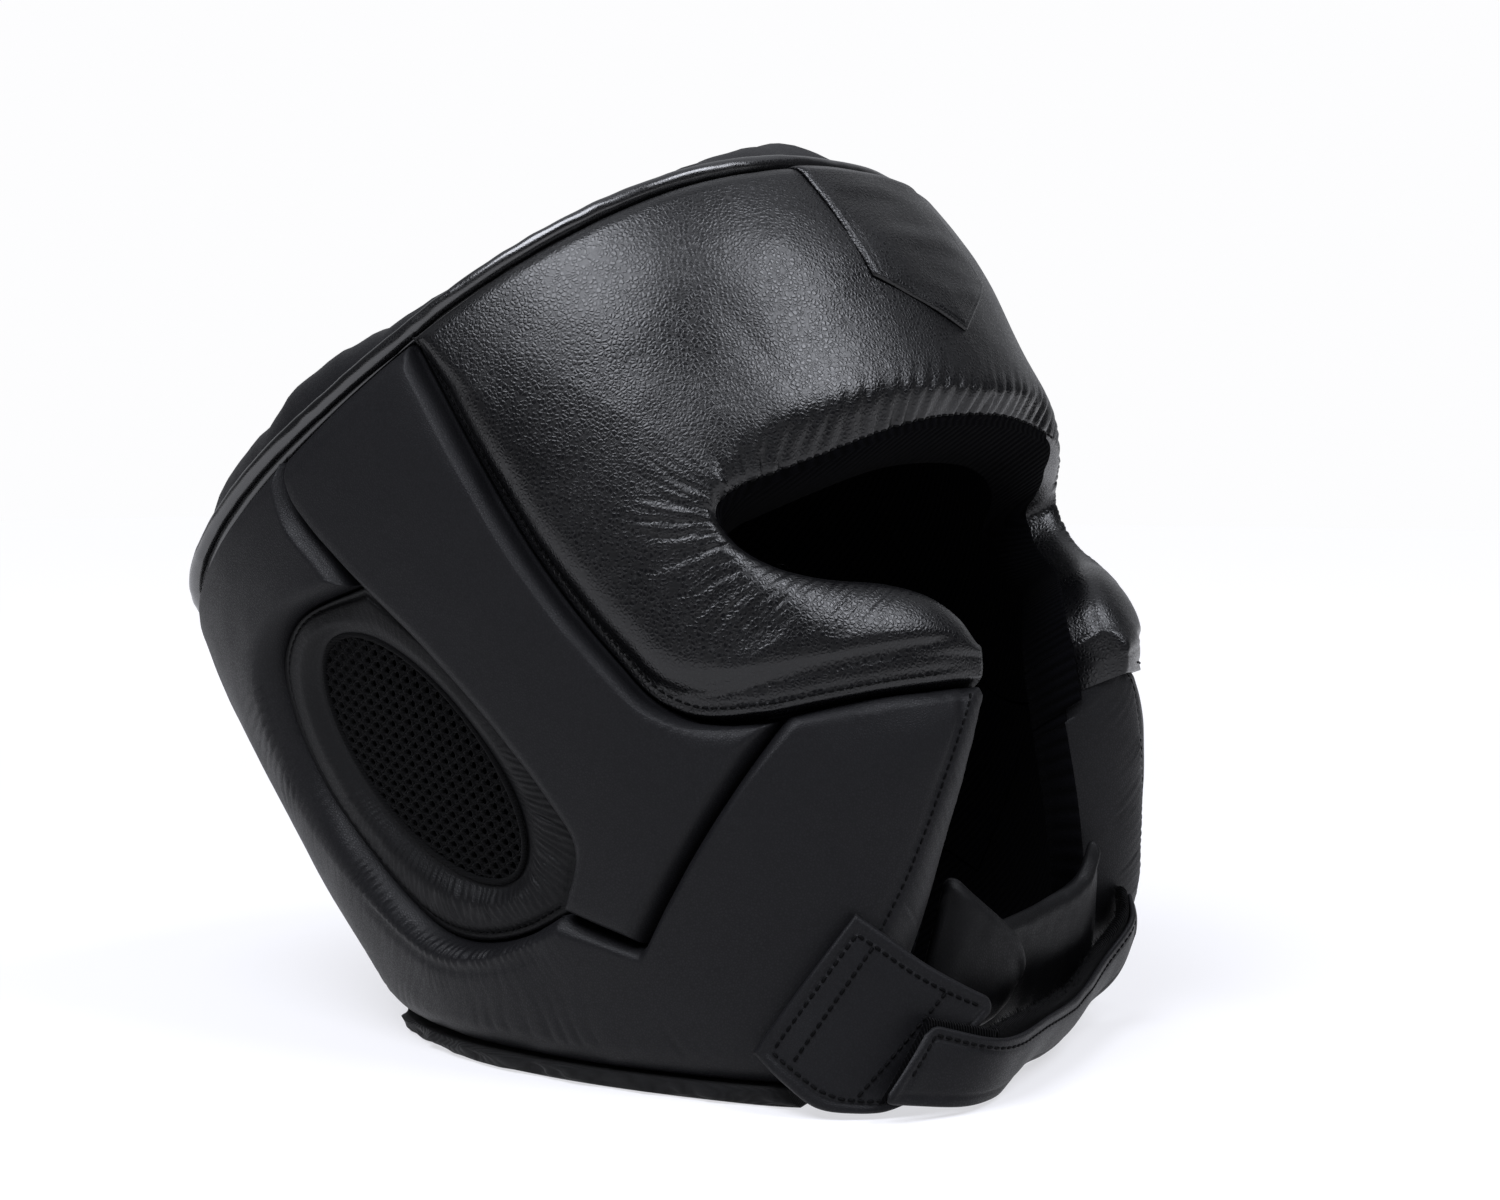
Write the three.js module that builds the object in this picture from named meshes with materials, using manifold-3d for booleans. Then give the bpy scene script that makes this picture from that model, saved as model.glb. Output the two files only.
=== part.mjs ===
// Padded leather headguard with cheek protection and mesh ear windows, resting on its lower edge.
// Millimetres. The worn frame has the face towards -Y, the wearer's left at +X and the crown at +Z.
// The guard is built in the worn frame and then leaned back until its lower edge is level with the floor.
import * as THREE from 'three';
import Module from 'manifold-3d';
import { mergeVertices } from 'three/addons/utils/BufferGeometryUtils.js';

const wasm = await Module();
wasm.setup();

// Driving dimensions of the outside of the padding
const HALF_WIDTH = 108.3;
const FRONT_DEPTH = 125.3;
const BACK_DEPTH = 118;
const SQUARENESS = 2.38;
const WIDEST_HEIGHT = 20;
const TAPER_SPAN = 100;
const TOP_TAPER = { side: 18.8, front: 28, back: 16 };
const BOTTOM_TAPER = { side: 8.7, front: 24.8, back: 4 };
const RIM_HEIGHT = 58.5;

// How it stands
const LEAN = THREE.MathUtils.degToRad(35.6);
const STAND_HEIGHT = 116.3;
const BOX_CENTRE_SHIFT = 5.29;

// Wall thicknesses and clearances
const PAD = 22;
const LINING = 2;
const LEATHER = 2.4;
const GAP = 0.4;
const LINING_GAP = 2.1;

// The lower binding is a flat tape between the padding and the floor
const FOOT_HEIGHT = 4.4;
const FOOT_OUTSIDE = 0.5;
const FOOT_INSIDE = -20;
const PAD_FLOOR_RISE = FOOT_HEIGHT + GAP;

// Rolled edges of the padding: how far each drops and over what width
const RIM_DROP = 6;
const RIM_ROLL = 6;
const SEAM_DROP = 7;
const SEAM_ROLL = 6;
const CHIN_DROP = 13;
const FLOOR_DROP = 6;
const EAR_DROP = 7;
const BACK_SEAM_DROP = 3;

const LEATHER_BLACK = new THREE.MeshStandardMaterial({ color: 0x1a1a1c, roughness: 0.48, metalness: 0 });
const SMOOTH_BLACK = new THREE.MeshStandardMaterial({ color: 0x1f1f21, roughness: 0.6, metalness: 0 });
const LINING_BLACK = new THREE.MeshStandardMaterial({ color: 0x0d0d0f, roughness: 0.95, metalness: 0 });
const MESH_BLACK = new THREE.MeshStandardMaterial({ color: 0x0a0a0b, roughness: 0.9, metalness: 0 });

const radians = THREE.MathUtils.degToRad;

// Half sizes of the padding at one height, grown by offset
function section(height, offset) {
  const above = height > WIDEST_HEIGHT;
  const taper = above ? TOP_TAPER : BOTTOM_TAPER;
  const share = ((height - WIDEST_HEIGHT) / TAPER_SPAN) ** 2;
  return {
    side: HALF_WIDTH - taper.side * share + offset,
    front: FRONT_DEPTH - taper.front * share + offset,
    back: BACK_DEPTH - taper.back * share + offset,
  };
}

// A point of the head form: angle in degrees from the face towards the wearer's right
function onHead(angle, height, offset = 0) {
  const { side, front, back } = section(height, offset);
  const across = Math.sin(radians(angle));
  const ahead = Math.cos(radians(angle));
  const depth = ahead > 0 ? front : back;
  const inverse = Math.abs(across / side) ** SQUARENESS + Math.abs(ahead / depth) ** SQUARENESS;
  const radius = inverse ** (-1 / SQUARENESS);
  return new THREE.Vector3(-radius * across, -radius * ahead, height);
}

// Worn frame to the resting frame, with the floor at zero
function atRest(point) {
  return point.clone().applyAxisAngle(new THREE.Vector3(1, 0, 0), -LEAN).setZ(
    STAND_HEIGHT - point.y * Math.sin(LEAN) + point.z * Math.cos(LEAN));
}

// The worn height at which the head form comes to a given rise above the floor
function floorHeight(angle, rise, offset = 0) {
  let height = -100;
  for (let step = 0; step < 30; step++) {
    height = (rise - STAND_HEIGHT + onHead(angle, height, offset).y * Math.sin(LEAN)) / Math.cos(LEAN);
  }
  return height;
}

// A list of rows with named columns
function table(columns, ...rows) {
  return rows.map((row) => Object.fromEntries(columns.map((name, i) => [name, row[i]])));
}

// A closed solid through rings of equally many points, whose ends are flat unless it wraps round
function loft(rings, wrap = false) {
  const size = rings[0].length;
  const positions = rings.flat().flatMap((p) => [p.x, p.y, p.z]);
  const faces = [];
  const quad = (a, b, c, d) => faces.push(a, b, c, a, c, d);
  const last = wrap ? rings.length : rings.length - 1;
  for (let i = 0; i < last; i++) {
    const here = i * size;
    const next = ((i + 1) % rings.length) * size;
    for (let j = 0; j < size; j++) {
      const k = (j + 1) % size;
      quad(here + j, next + j, next + k, here + k);
    }
  }
  if (!wrap) {
    const end = (rings.length - 1) * size;
    for (let j = 0; j < size / 2 - 1; j++) {
      const far = size - 1 - j;
      quad(j, j + 1, far - 1, far);
      quad(end + far, end + far - 1, end + j + 1, end + j);
    }
  }
  const geometry = new THREE.BufferGeometry();
  geometry.setAttribute('position', new THREE.Float32BufferAttribute(positions, 3));
  geometry.setIndex(faces);
  return facingOut(geometry);
}

// Turns a closed geometry's faces round if they point inwards
function facingOut(geometry) {
  const p = geometry.attributes.position;
  const index = geometry.index.array;
  const [a, b, c] = [new THREE.Vector3(), new THREE.Vector3(), new THREE.Vector3()];
  let volume = 0;
  for (let i = 0; i < index.length; i += 3) {
    [a, b, c].forEach((v, k) => v.fromBufferAttribute(p, index[i + k]));
    volume += a.dot(b.cross(c));
  }
  if (volume < 0) {
    for (let i = 0; i < index.length; i += 3) {
      [index[i + 1], index[i + 2]] = [index[i + 2], index[i + 1]];
    }
  }
  return geometry;
}

// Smooth curve of [angle, height] points, with a kink at each point marked as a corner
function kinked(points, isCorner) {
  return (t) => {
    const spans = points.length - 1;
    const i = Math.min(Math.floor(t * spans), spans - 1);
    const u = t * spans - i;
    const [p1, p2] = [points[i], points[i + 1]];
    const p0 = i === 0 || isCorner[i] ? p1.map((v, k) => 2 * v - p2[k]) : points[i - 1];
    const p3 = i + 2 > spans || isCorner[i + 1] ? p2.map((v, k) => 2 * v - p1[k]) : points[i + 2];
    return p1.map((v, k) => 0.5 * (2 * v + (p2[k] - p0[k]) * u
      + (2 * p0[k] - 5 * v + 4 * p2[k] - p3[k]) * u * u
      + (3 * v - p0[k] - 3 * p2[k] + p3[k]) * u * u * u));
  };
}

// Distance from a place to a line of places, both [angle, height], measured on the unrolled surface
const MEAN_RADIUS = 110;
function unrolled([angle, height]) {
  return new THREE.Vector2(radians(angle) * MEAN_RADIUS, height);
}
function distanceToLine(place, line) {
  const p = unrolled(place);
  let best = Infinity;
  for (let i = 0; i + 1 < line.length; i++) {
    const a = unrolled(line[i]);
    const along = unrolled(line[i + 1]).sub(a);
    const share = THREE.MathUtils.clamp(p.clone().sub(a).dot(along) / Math.max(along.lengthSq(), 1e-9), 0, 1);
    best = Math.min(best, p.distanceTo(a.addScaledVector(along, share)));
  }
  return best;
}

// Share of a rolled edge's drop that is left at a distance from the edge
function roll(distance, width) {
  const inward = 1 - Math.min(distance / width, 1);
  return 1 - Math.sqrt(1 - inward * inward);
}

// Where the columns of a section lie, closer together on its rolled edges
function columnShares(width, rollA, rollB, inner) {
  const scale = Math.min(1, 0.9 * width / (rollA + rollB));
  const a = rollA * scale / width;
  const b = rollB * scale / width;
  const middle = Array.from({ length: inner }, (_, i) => a + (1 - a - b) * (i + 1) / (inner + 1));
  return [0, 0.12 * a, 0.45 * a, a, ...middle, 1 - b, 1 - 0.45 * b, 1 - 0.12 * b, 1];
}

// The padding may bulge between its edges, and the brow has a shallow dent round one height
const DENT = { height: 5, spread: 21 };
function dentShare(height) {
  return Math.exp(-(((height - DENT.height) / DENT.spread) ** 2));
}

// A padded panel between two edge lines. Each row is a section from edge a to edge b.
// The panel lies flat on the lining, and its outside rolls down towards all four edges.
// Edge a may also have a bevel, which falls evenly over its width.
function paddedPanel(rows, { steps, inner, ends, side = 1 }) {
  const edge = (letter) => kinked(rows.map((r) => [r[letter + 'Angle'], r[letter + 'Height']]),
    rows.map((r) => (r.corner || '').includes(letter)));
  const value = (name) => {
    const along = kinked(rows.map((r) => [r[name] || 0]), rows.map(() => true));
    return (t) => along(t)[0];
  };
  const [lineA, lineB] = [edge('a'), edge('b')];
  const [rollA, dropA, rollB, dropB] = ['aRoll', 'aDrop', 'bRoll', 'bDrop'].map(value);
  const [bevelA, fallA, bulge, dent, insideStep] = ['aBevel', 'aFall', 'bulge', 'dent', 'bStep'].map(value);
  const spans = rows.length - 1;
  const stops = Array.from({ length: spans * steps + 1 }, (_, i) => i / (spans * steps));
  if (ends.start.drop) stops.splice(1, 0, 0.12 / spans);
  if (ends.finish.drop) stops.splice(-1, 0, 1 - 0.12 / spans);
  const fine = Array.from({ length: spans * 6 + 1 }, (_, i) => i / (spans * 6));
  const edgeA = fine.map(lineA);
  const edgeB = fine.map(lineB);
  const startLine = [lineA(0), lineB(0)];
  const finishLine = [lineA(1), lineB(1)];
  const rings = stops.map((t) => {
    const [a, b] = [lineA(t), lineB(t)];
    const width = unrolled(a).distanceTo(unrolled(b));
    const shares = columnShares(width, Math.max(rollA(t), bevelA(t)), rollB(t), inner);
    const places = shares.map((s) => [a[0] + (b[0] - a[0]) * s, a[1] + (b[1] - a[1]) * s]);
    const edgeDrop = (place) => {
      const inward = distanceToLine(place, edgeA);
      const slope = fallA(t) * Math.max(0, 1 - inward / (bevelA(t) || 1));
      return Math.max(
        slope + (dropA(t) - fallA(t)) * roll(inward, rollA(t)),
        dropB(t) * roll(distanceToLine(place, edgeB), rollB(t)),
        ends.start.drop * roll(distanceToLine(place, startLine), ends.start.roll),
        ends.finish.drop * roll(distanceToLine(place, finishLine), ends.finish.roll));
    };
    const drop = (place, share) => edgeDrop(place)
      - bulge(t) * Math.sin(Math.PI * share ** 1.35) + dent(t) * dentShare(place[1]);
    const step = insideStep(t);
    const sink = ([angle, height], share, depth) =>
      onHead(side * angle, height + step * share * depth / PAD, -depth);
    const outside = places.map((place, i) => sink(place, shares[i], drop(place, shares[i])));
    const inside = places.map((place, i) => sink(place, shares[i], PAD));
    return [...outside, ...inside.reverse()];
  });
  return loft(rings);
}

// A flexible band through sections that give its upper and lower edge in the resting frame.
// Its middle may bow outwards between the two edges.
function leatherBand(rows, thickness, steps, columns) {
  const curve = (letter) => new THREE.CatmullRomCurve3(
    rows.map((r) => new THREE.Vector3(r[letter + 'X'], r[letter + 'Y'], r[letter + 'Z'])),
    false, 'centripetal');
  const [upper, lower] = [curve('u'), curve('l')];
  const bow = kinked(rows.map((r) => [r.bow]), rows.map(() => true));
  const count = (rows.length - 1) * steps;
  const rings = Array.from({ length: count + 1 }, (_, i) => {
    const t = i / count;
    const [top, bottom] = [upper.getPoint(t), lower.getPoint(t)];
    const across = bottom.clone().sub(top);
    const along = upper.getTangent(t).add(lower.getTangent(t));
    const outward = across.clone().cross(along).normalize();
    const line = Array.from({ length: columns + 1 }, (_, j) => {
      const share = j / columns;
      const lift = bow(t)[0] * 4 * share * (1 - share);
      return top.clone().addScaledVector(across, share).addScaledVector(outward, lift);
    });
    const face = (lift) => line.map((p) => p.clone().addScaledVector(outward, lift));
    return [...face(thickness / 2), ...face(-thickness / 2).reverse()];
  });
  return loft(rings);
}

// Closed geometry to a solid that can be cut, and back
function toSolid(geometry) {
  const bare = geometry.clone();
  bare.deleteAttribute('normal');
  bare.deleteAttribute('uv');
  const merged = mergeVertices(bare, 1e-4);
  return new wasm.Manifold(new wasm.Mesh({
    numProp: 3,
    vertProperties: merged.attributes.position.array,
    triVerts: new Uint32Array(merged.index.array),
  }));
}
function toGeometry(solid) {
  const mesh = solid.getMesh();
  const geometry = new THREE.BufferGeometry();
  geometry.setAttribute('position', new THREE.BufferAttribute(mesh.vertProperties, 3));
  geometry.setIndex(new THREE.BufferAttribute(mesh.triVerts, 1));
  return geometry;
}

// The seam between the face panel and the panels beside and below it, from the rim to the tip of the cheek
const CHEEK_SEAM = table(['angle', 'height'],
  [69, RIM_HEIGHT], [69, 45], [69, 20], [68.7, -5], [67.5, -26], [65.9, -42], [64.3, -54],
  [61.3, -62.5], [57.5, -68], [53.5, -71.6], [49.6, -74.4], [40, -79], [30, -82.8], [19.8, -85.5]);
const SEAM_GAP = 0.35;

// One point of the seam, moved sideways: positive is towards the face panel
function besideSeam(i, distance) {
  const at = (k) => unrolled([CHEEK_SEAM[k].angle, CHEEK_SEAM[k].height]);
  const along = at(Math.min(i + 1, CHEEK_SEAM.length - 1)).sub(at(Math.max(i - 1, 0))).normalize();
  const angle = CHEEK_SEAM[i].angle + THREE.MathUtils.radToDeg(along.y * distance / MEAN_RADIUS);
  const height = i === 0 ? RIM_HEIGHT : CHEEK_SEAM[i].height - along.x * distance;
  return { angle, height };
}

// Sections of the face panel's right half, from the middle of the brow round the eye to the cheek's tip.
// Edge a is the eye opening. Edge b is the rim over the brow, then the cheek seam.
const BROW_ROWS = table(['aAngle', 'aHeight', 'aRoll', 'aDrop', 'aBevel', 'aFall', 'dent', 'bAngle'],
  [0, -20.3, 1.3, 7.9, 3.5, 7, 0.5, 0],
  [6, -20.4, 1.3, 7.9, 4, 7, 0.8, 7],
  [12, -20.6, 1.3, 7.9, 5.5, 7, 1.4, 14],
  [18, -21.1, 1.3, 7.9, 7.5, 7, 2.2, 21.5],
  [24, -21.8, 1.3, 8, 9, 7, 2.8, 29],
  [29.5, -22.2, 1.3, 8, 10, 7, 2.8, 36.5],
  [34, -22.3, 1.5, 7.8, 10, 6.5, 2, 44],
  [37.5, -22.2, 2, 7.5, 9, 5.5, 1, 51],
  [40.5, -22.1, 2.6, 7.4, 7, 4, 0.4, 57.5],
  [42.5, -22.6, 3.2, 7.4, 5, 2.5, 0, 63.5]);
const CHEEK_ROWS = table(['aAngle', 'aHeight', 'aRoll', 'aDrop', 'bRoll', 'bDrop', 'bulge'],
  [43.6, -23.2, 4, 7.5, RIM_ROLL, RIM_DROP, 0],
  [44.8, -24, 4, 7, 8, 7, 0],
  [45.6, -25.6, 4, 7, 8, 7, 0],
  [45.8, -28.5, 4.5, 7, 8, 7, 0],
  [45.2, -33.5, 5, 8, 8, 7, 0],
  [43.6, -38.5, 7, 9, 8, 6.5, 0.3],
  [41, -43.5, 10, 10, 8, 5.5, 0.6],
  [37.5, -47.8, 13, 11, 8, 4.5, 1],
  [34, -50.8, 16, 12, 8, 3.8, 1.5],
  [30.5, -53.3, 19, 12, 8, 2.4, 1.6],
  [27, -56.2, 21, 12, 8, 1.8, 1.4],
  [22.6, -61.2, 21, 12, 8, 1.5, 1.4],
  [19.2, -68.5, 17, 12, 6, 1.5, 1.4],
  [18, -76, 9, 12, 4, 1.5, 1.4]);
const FACE_HALF = [
  ...BROW_ROWS.map((r) => ({ ...r, bHeight: RIM_HEIGHT, bRoll: RIM_ROLL, bDrop: RIM_DROP })),
  ...CHEEK_ROWS.map((r, i) => {
    const { angle, height } = besideSeam(i, SEAM_GAP);
    return { ...r, bAngle: angle, bHeight: height, corner: 'b' };
  }),
];

// Sections of the right side panel, from the rim down to its point below the ear.
// Edge a follows the cheek seam. Edge b runs down behind it and past the ear.
const SIDE_ROWS = table(['bAngle', 'bHeight', 'bDrop', 'corner'],
  [98, RIM_HEIGHT, SEAM_DROP, 'a'],
  [99.4, 45, SEAM_DROP, 'a'],
  [95.8, 20, SEAM_DROP, 'a'],
  [91.4, -5, EAR_DROP, 'a'],
  [88.4, -26, EAR_DROP, 'a'],
  [86.8, -44, EAR_DROP, 'a'],
  [86, -60, EAR_DROP, 'a'],
  [86.8, -74, EAR_DROP, 'a'],
  [94.5, -83.5, EAR_DROP, 'ab'],
  [90.3, -93, SEAM_DROP, 'a'],
  [86, -102, SEAM_DROP, 'a'],
).map((r, i) => {
  const { angle, height } = besideSeam(i, -SEAM_GAP);
  return { ...r, aAngle: angle, aHeight: height, aRoll: SEAM_ROLL, aDrop: SEAM_DROP, bRoll: SEAM_ROLL };
});

// Sections of the right jaw panel, from the chin under the ear to the middle of the back.
// Edge a follows the seam, the side panel and the ear window.
// Edge b is the chin edge, the floor, the back seam and the rim.
const FLOOR = null;
const JAW_COLUMNS = [
  'aAngle', 'aHeight', 'aRoll', 'aDrop', 'bAngle', 'bHeight', 'bRoll', 'bDrop', 'bulge', 'corner'];
const JAW_ROWS = table(JAW_COLUMNS,
  [19.8, -86.2, 4.5, 3, 20.5, -92, 8, CHIN_DROP, 2.5, 'a'],
  [30, -83.5, 4.5, 3, 25, -102, 8, CHIN_DROP, 2.5, 'a'],
  [40, -79.7, 4.5, 3, 31.5, -113, 8, CHIN_DROP, 2.5, 'a'],
  [49.6, -75.5, 5, 5, 37.5, -122, 8, CHIN_DROP, 1.8, 'a'],
  [58.7, -82.2, 3, 5, 44.5, -130.5, 8, CHIN_DROP, 0, 'a'],
  [67.8, -89.2, 3, 5, 53.5, -138.5, 8, CHIN_DROP, 0, 'a'],
  [76.9, -96.1, 3, 5, 64.5, -144, 9, 11, 0, 'a'],
  [86, -103, 3, 5, 77, FLOOR, 8, FLOOR_DROP, 0, 'ab'],
  [91, -93.3, 3, 5, 90, FLOOR, 8, FLOOR_DROP, 0],
  [95.3, -84.2, 5, EAR_DROP, 99, FLOOR, 8, FLOOR_DROP, 0, 'a'],
  [103, -82.4, 8, EAR_DROP, 108, FLOOR, 8, FLOOR_DROP, 0],
  [110, -78.5, 9, EAR_DROP, 117, FLOOR, 8, FLOOR_DROP, 0],
  [116, -72.3, 9, EAR_DROP, 127, FLOOR, 8, FLOOR_DROP, 0],
  [120.3, -63.5, 9, EAR_DROP, 138, FLOOR, 8, FLOOR_DROP, 0],
  [123.2, -49.5, 9, EAR_DROP, 152, FLOOR, 8, FLOOR_DROP, 0],
  [125, -33.5, 9, EAR_DROP, 166, FLOOR, 8, FLOOR_DROP, 0],
  [126, -18.5, 9, EAR_DROP, 179.8, FLOOR, 8, FLOOR_DROP, 0, 'b'],
  [125.2, -5, 9, EAR_DROP, 179.8, -26, 4, BACK_SEAM_DROP, 0],
  [123, 8, 9, EAR_DROP, 179.8, 16, 4, BACK_SEAM_DROP, 0],
  [118.5, 19.5, 8, EAR_DROP, 179.8, RIM_HEIGHT, RIM_ROLL, RIM_DROP, 0, 'b'],
  [114.5, 22.2, 8, EAR_DROP, 163, RIM_HEIGHT, RIM_ROLL, RIM_DROP, 0],
  [109.5, 23.4, 7, EAR_DROP, 147, RIM_HEIGHT, RIM_ROLL, RIM_DROP, 0],
  [103.5, 21.3, 7, EAR_DROP, 132, RIM_HEIGHT, RIM_ROLL, RIM_DROP, 0],
  [97, 17.5, SEAM_ROLL, EAR_DROP, 118, RIM_HEIGHT, RIM_ROLL, RIM_DROP, 0, 'a'],
  [97.8, 28, SEAM_ROLL, SEAM_DROP, 110, RIM_HEIGHT, RIM_ROLL, RIM_DROP, 0],
  [99.9, 43, SEAM_ROLL, SEAM_DROP, 104.5, RIM_HEIGHT, RIM_ROLL, RIM_DROP, 0],
  [98.4, RIM_HEIGHT - 0.4, SEAM_ROLL, RIM_DROP, 99.4, RIM_HEIGHT, RIM_ROLL, RIM_DROP, 0]);
for (const row of JAW_ROWS.filter((r) => r.bHeight === FLOOR)) {
  row.bHeight = floorHeight(row.bAngle, PAD_FLOOR_RISE);
  row.bStep = floorHeight(row.bAngle, PAD_FLOOR_RISE, -PAD) - row.bHeight;
}

// The ear window is a slanted oval on the head form
const EAR = { angle: 105.3, height: -27, halfAngle: 12, halfHeight: 40, slant: 0.09 };
const EAR_MESH_OFFSET = -9.5;
const EAR_MESH_THICK = 1.5;
const EAR_RING_OUTSIDE = -6.5;
const EAR_RING_INSIDE = -8.5;
const EAR_CLEARANCE = 0.9;
function earOval(turn, growth) {
  const rise = (EAR.halfHeight + growth) * Math.sin(turn);
  const swing = (EAR.halfAngle + growth * 180 / Math.PI / MEAN_RADIUS) * Math.cos(turn);
  return [EAR.angle + EAR.slant * rise + swing, EAR.height + rise];
}

// The face panel is one padded piece from cheek to cheek
function facePanel() {
  const mirrored = FACE_HALF.slice(1).reverse().map((r) => ({ ...r, aAngle: -r.aAngle, bAngle: -r.bAngle }));
  const tip = { drop: 7, roll: 4.5 };
  return paddedPanel([...mirrored, ...FACE_HALF], { steps: 1, inner: 2, ends: { start: tip, finish: tip } });
}

function sidePanel(side) {
  const ends = { start: { drop: RIM_DROP, roll: RIM_ROLL }, finish: { drop: SEAM_DROP, roll: SEAM_ROLL } };
  return paddedPanel(SIDE_ROWS, { steps: 1, inner: 1, ends, side });
}

function jawPanel(side) {
  const ends = { start: { drop: 8, roll: 4.5 }, finish: { drop: 0, roll: 1 } };
  return paddedPanel(JAW_ROWS, { steps: 1, inner: 5, ends, side });
}

// The ring lies sunk between the jaw and side panels and holds the mesh in its window
function earRing(side) {
  const jawEdge = JAW_ROWS.slice(9, 24).map((r) => [r.aAngle, r.aHeight]);
  const sideEdge = SIDE_ROWS.slice(3, 8).map((r) => [r.bAngle, r.bHeight]);
  const corners = [...jawEdge, ...sideEdge];
  const outline = corners.flatMap((place, i) => {
    const next = corners[(i + 1) % corners.length];
    return [place, [(place[0] + next[0]) / 2, (place[1] + next[1]) / 2]];
  });
  const centre = unrolled([EAR.angle, EAR.height]);
  const rings = outline.map((place) => {
    const away = unrolled(place).sub(centre);
    const inset = 1 - 2.5 * GAP / away.length();
    const outer = [EAR.angle + (place[0] - EAR.angle) * inset, EAR.height + (place[1] - EAR.height) * inset];
    const upright = away.x / MEAN_RADIUS - radians(EAR.slant * away.y);
    const turn = Math.atan2(away.y / EAR.halfHeight, upright / radians(EAR.halfAngle));
    const inner = earOval(turn, EAR_CLEARANCE);
    const at = ([angle, height], offset) => onHead(side * angle, height, offset);
    const middle = [(outer[0] + inner[0]) / 2, (outer[1] + inner[1]) / 2];
    return [at(outer, -PAD), at(outer, EAR_RING_OUTSIDE), at(middle, EAR_RING_OUTSIDE + 1.8),
      at(inner, EAR_RING_INSIDE), at(inner, -PAD), at(middle, -PAD)];
  });
  return loft(rings, true);
}

// The mesh is a thin plate that fills the window
function earMesh(side) {
  const rows = 10;
  const columns = 4;
  const rings = Array.from({ length: rows + 1 }, (_, i) => {
    const turn = THREE.MathUtils.lerp(-0.46 * Math.PI, 0.46 * Math.PI, i / rows);
    const [front, rear] = [earOval(Math.PI - turn, -EAR_CLEARANCE), earOval(turn, -EAR_CLEARANCE)];
    const line = Array.from({ length: columns + 1 }, (_, j) => [
      THREE.MathUtils.lerp(front[0], rear[0], j / columns), front[1] + (rear[1] - front[1]) * j / columns]);
    const face = (offset) => line.map(([angle, height]) => onHead(side * angle, height, offset));
    return [...face(EAR_MESH_OFFSET), ...face(EAR_MESH_OFFSET - EAR_MESH_THICK).reverse()];
  });
  return loft(rings);
}

// The lining is a thin wall inside all the padding, open at the face, the ears, the neck and the crown
function lining() {
  const around = 44;
  const levels = 5;
  const outside = -PAD - LINING_GAP;
  const rings = Array.from({ length: around }, (_, i) => {
    const angle = 360 * i / around;
    const foot = floorHeight(angle, 1, outside);
    const line = (offset) => Array.from({ length: levels + 1 }, (_, j) =>
      onHead(angle, THREE.MathUtils.lerp(foot, RIM_HEIGHT, j / levels), offset));
    return [...line(outside), ...line(outside - LINING).reverse()];
  });
  let wall = toSolid(loft(rings, true));
  wall = wall.subtract(toSolid(faceCutter(outside - LINING / 2)));
  for (const side of [1, -1]) {
    wall = wall.subtract(toSolid(earCutter(side)));
  }
  return toGeometry(wall);
}

// Everything in front of the face opening, as a prism along Y
const CUTTER_REACH = 160;
function faceCutter(offset) {
  const eye = FACE_HALF.map((r) => onHead(r.aAngle, r.aHeight, offset));
  const chin = JAW_ROWS.slice(0, 8).map((r) => onHead(r.bAngle, r.bHeight, offset));
  const right = [...eye, ...chin].map((p) => new THREE.Vector2(p.x, p.z));
  const low = new THREE.Vector2(right.at(-1).x, -2 * CUTTER_REACH);
  const half = [...right.slice(1), low];
  const mirrored = half.map((p) => new THREE.Vector2(-p.x, p.y)).reverse();
  const outline = new THREE.Shape([right[0], ...half, ...mirrored]);
  const prism = new THREE.ExtrudeGeometry(outline, { depth: CUTTER_REACH, bevelEnabled: false });
  return facingOut(mergeVertices(prism.rotateX(Math.PI / 2)));
}

// A prism along X through one ear window, a little wider than the mesh
function earCutter(side) {
  const points = Array.from({ length: 24 }, (_, i) => {
    const p = onHead(...earOval(2 * Math.PI * i / 24, 2), -PAD);
    return new THREE.Vector2(p.y, p.z);
  });
  const outline = new THREE.Shape(points);
  const prism = new THREE.ExtrudeGeometry(outline, { depth: CUTTER_REACH, bevelEnabled: false });
  const basis = new THREE.Matrix4().makeBasis(
    new THREE.Vector3(0, 1, 0), new THREE.Vector3(0, 0, 1), new THREE.Vector3(-side, 0, 0));
  return facingOut(mergeVertices(prism.applyMatrix4(basis)));
}

// A round leather binding that follows the rim outside the crown, and stands further off it towards the back
const BINDING_RADIUS = 2.5;
const BINDING_SIDES = 8;
const BINDING_ROWS = table(['angle', 'offset', 'height'],
  [0, -5.5, RIM_HEIGHT + 3.2],
  [70, -5.5, RIM_HEIGHT + 3.2],
  [105, -4, RIM_HEIGHT + 4.6],
  [180, -2.5, RIM_HEIGHT + 5.4]);
function bindingAt(angle) {
  const turn = Math.abs(angle);
  const k = BINDING_ROWS.findIndex((r, i) => i > 0 && turn <= r.angle);
  const [from, to] = [BINDING_ROWS[k - 1], BINDING_ROWS[k]];
  const share = THREE.MathUtils.smoothstep(turn, from.angle, to.angle);
  return {
    offset: THREE.MathUtils.lerp(from.offset, to.offset, share),
    height: THREE.MathUtils.lerp(from.height, to.height, share),
  };
}
function rimBinding() {
  const around = 48;
  const rings = Array.from({ length: around }, (_, i) => {
    const angle = 360 * i / around - 180;
    const centre = bindingAt(angle);
    return Array.from({ length: BINDING_SIDES }, (_, j) => {
      const turn = 2 * Math.PI * (j + 0.5) / BINDING_SIDES;
      const foot = onHead(angle, RIM_HEIGHT, centre.offset + BINDING_RADIUS * Math.cos(turn));
      return foot.setZ(centre.height + BINDING_RADIUS * Math.sin(turn));
    });
  });
  return loft(rings, true);
}

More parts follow.
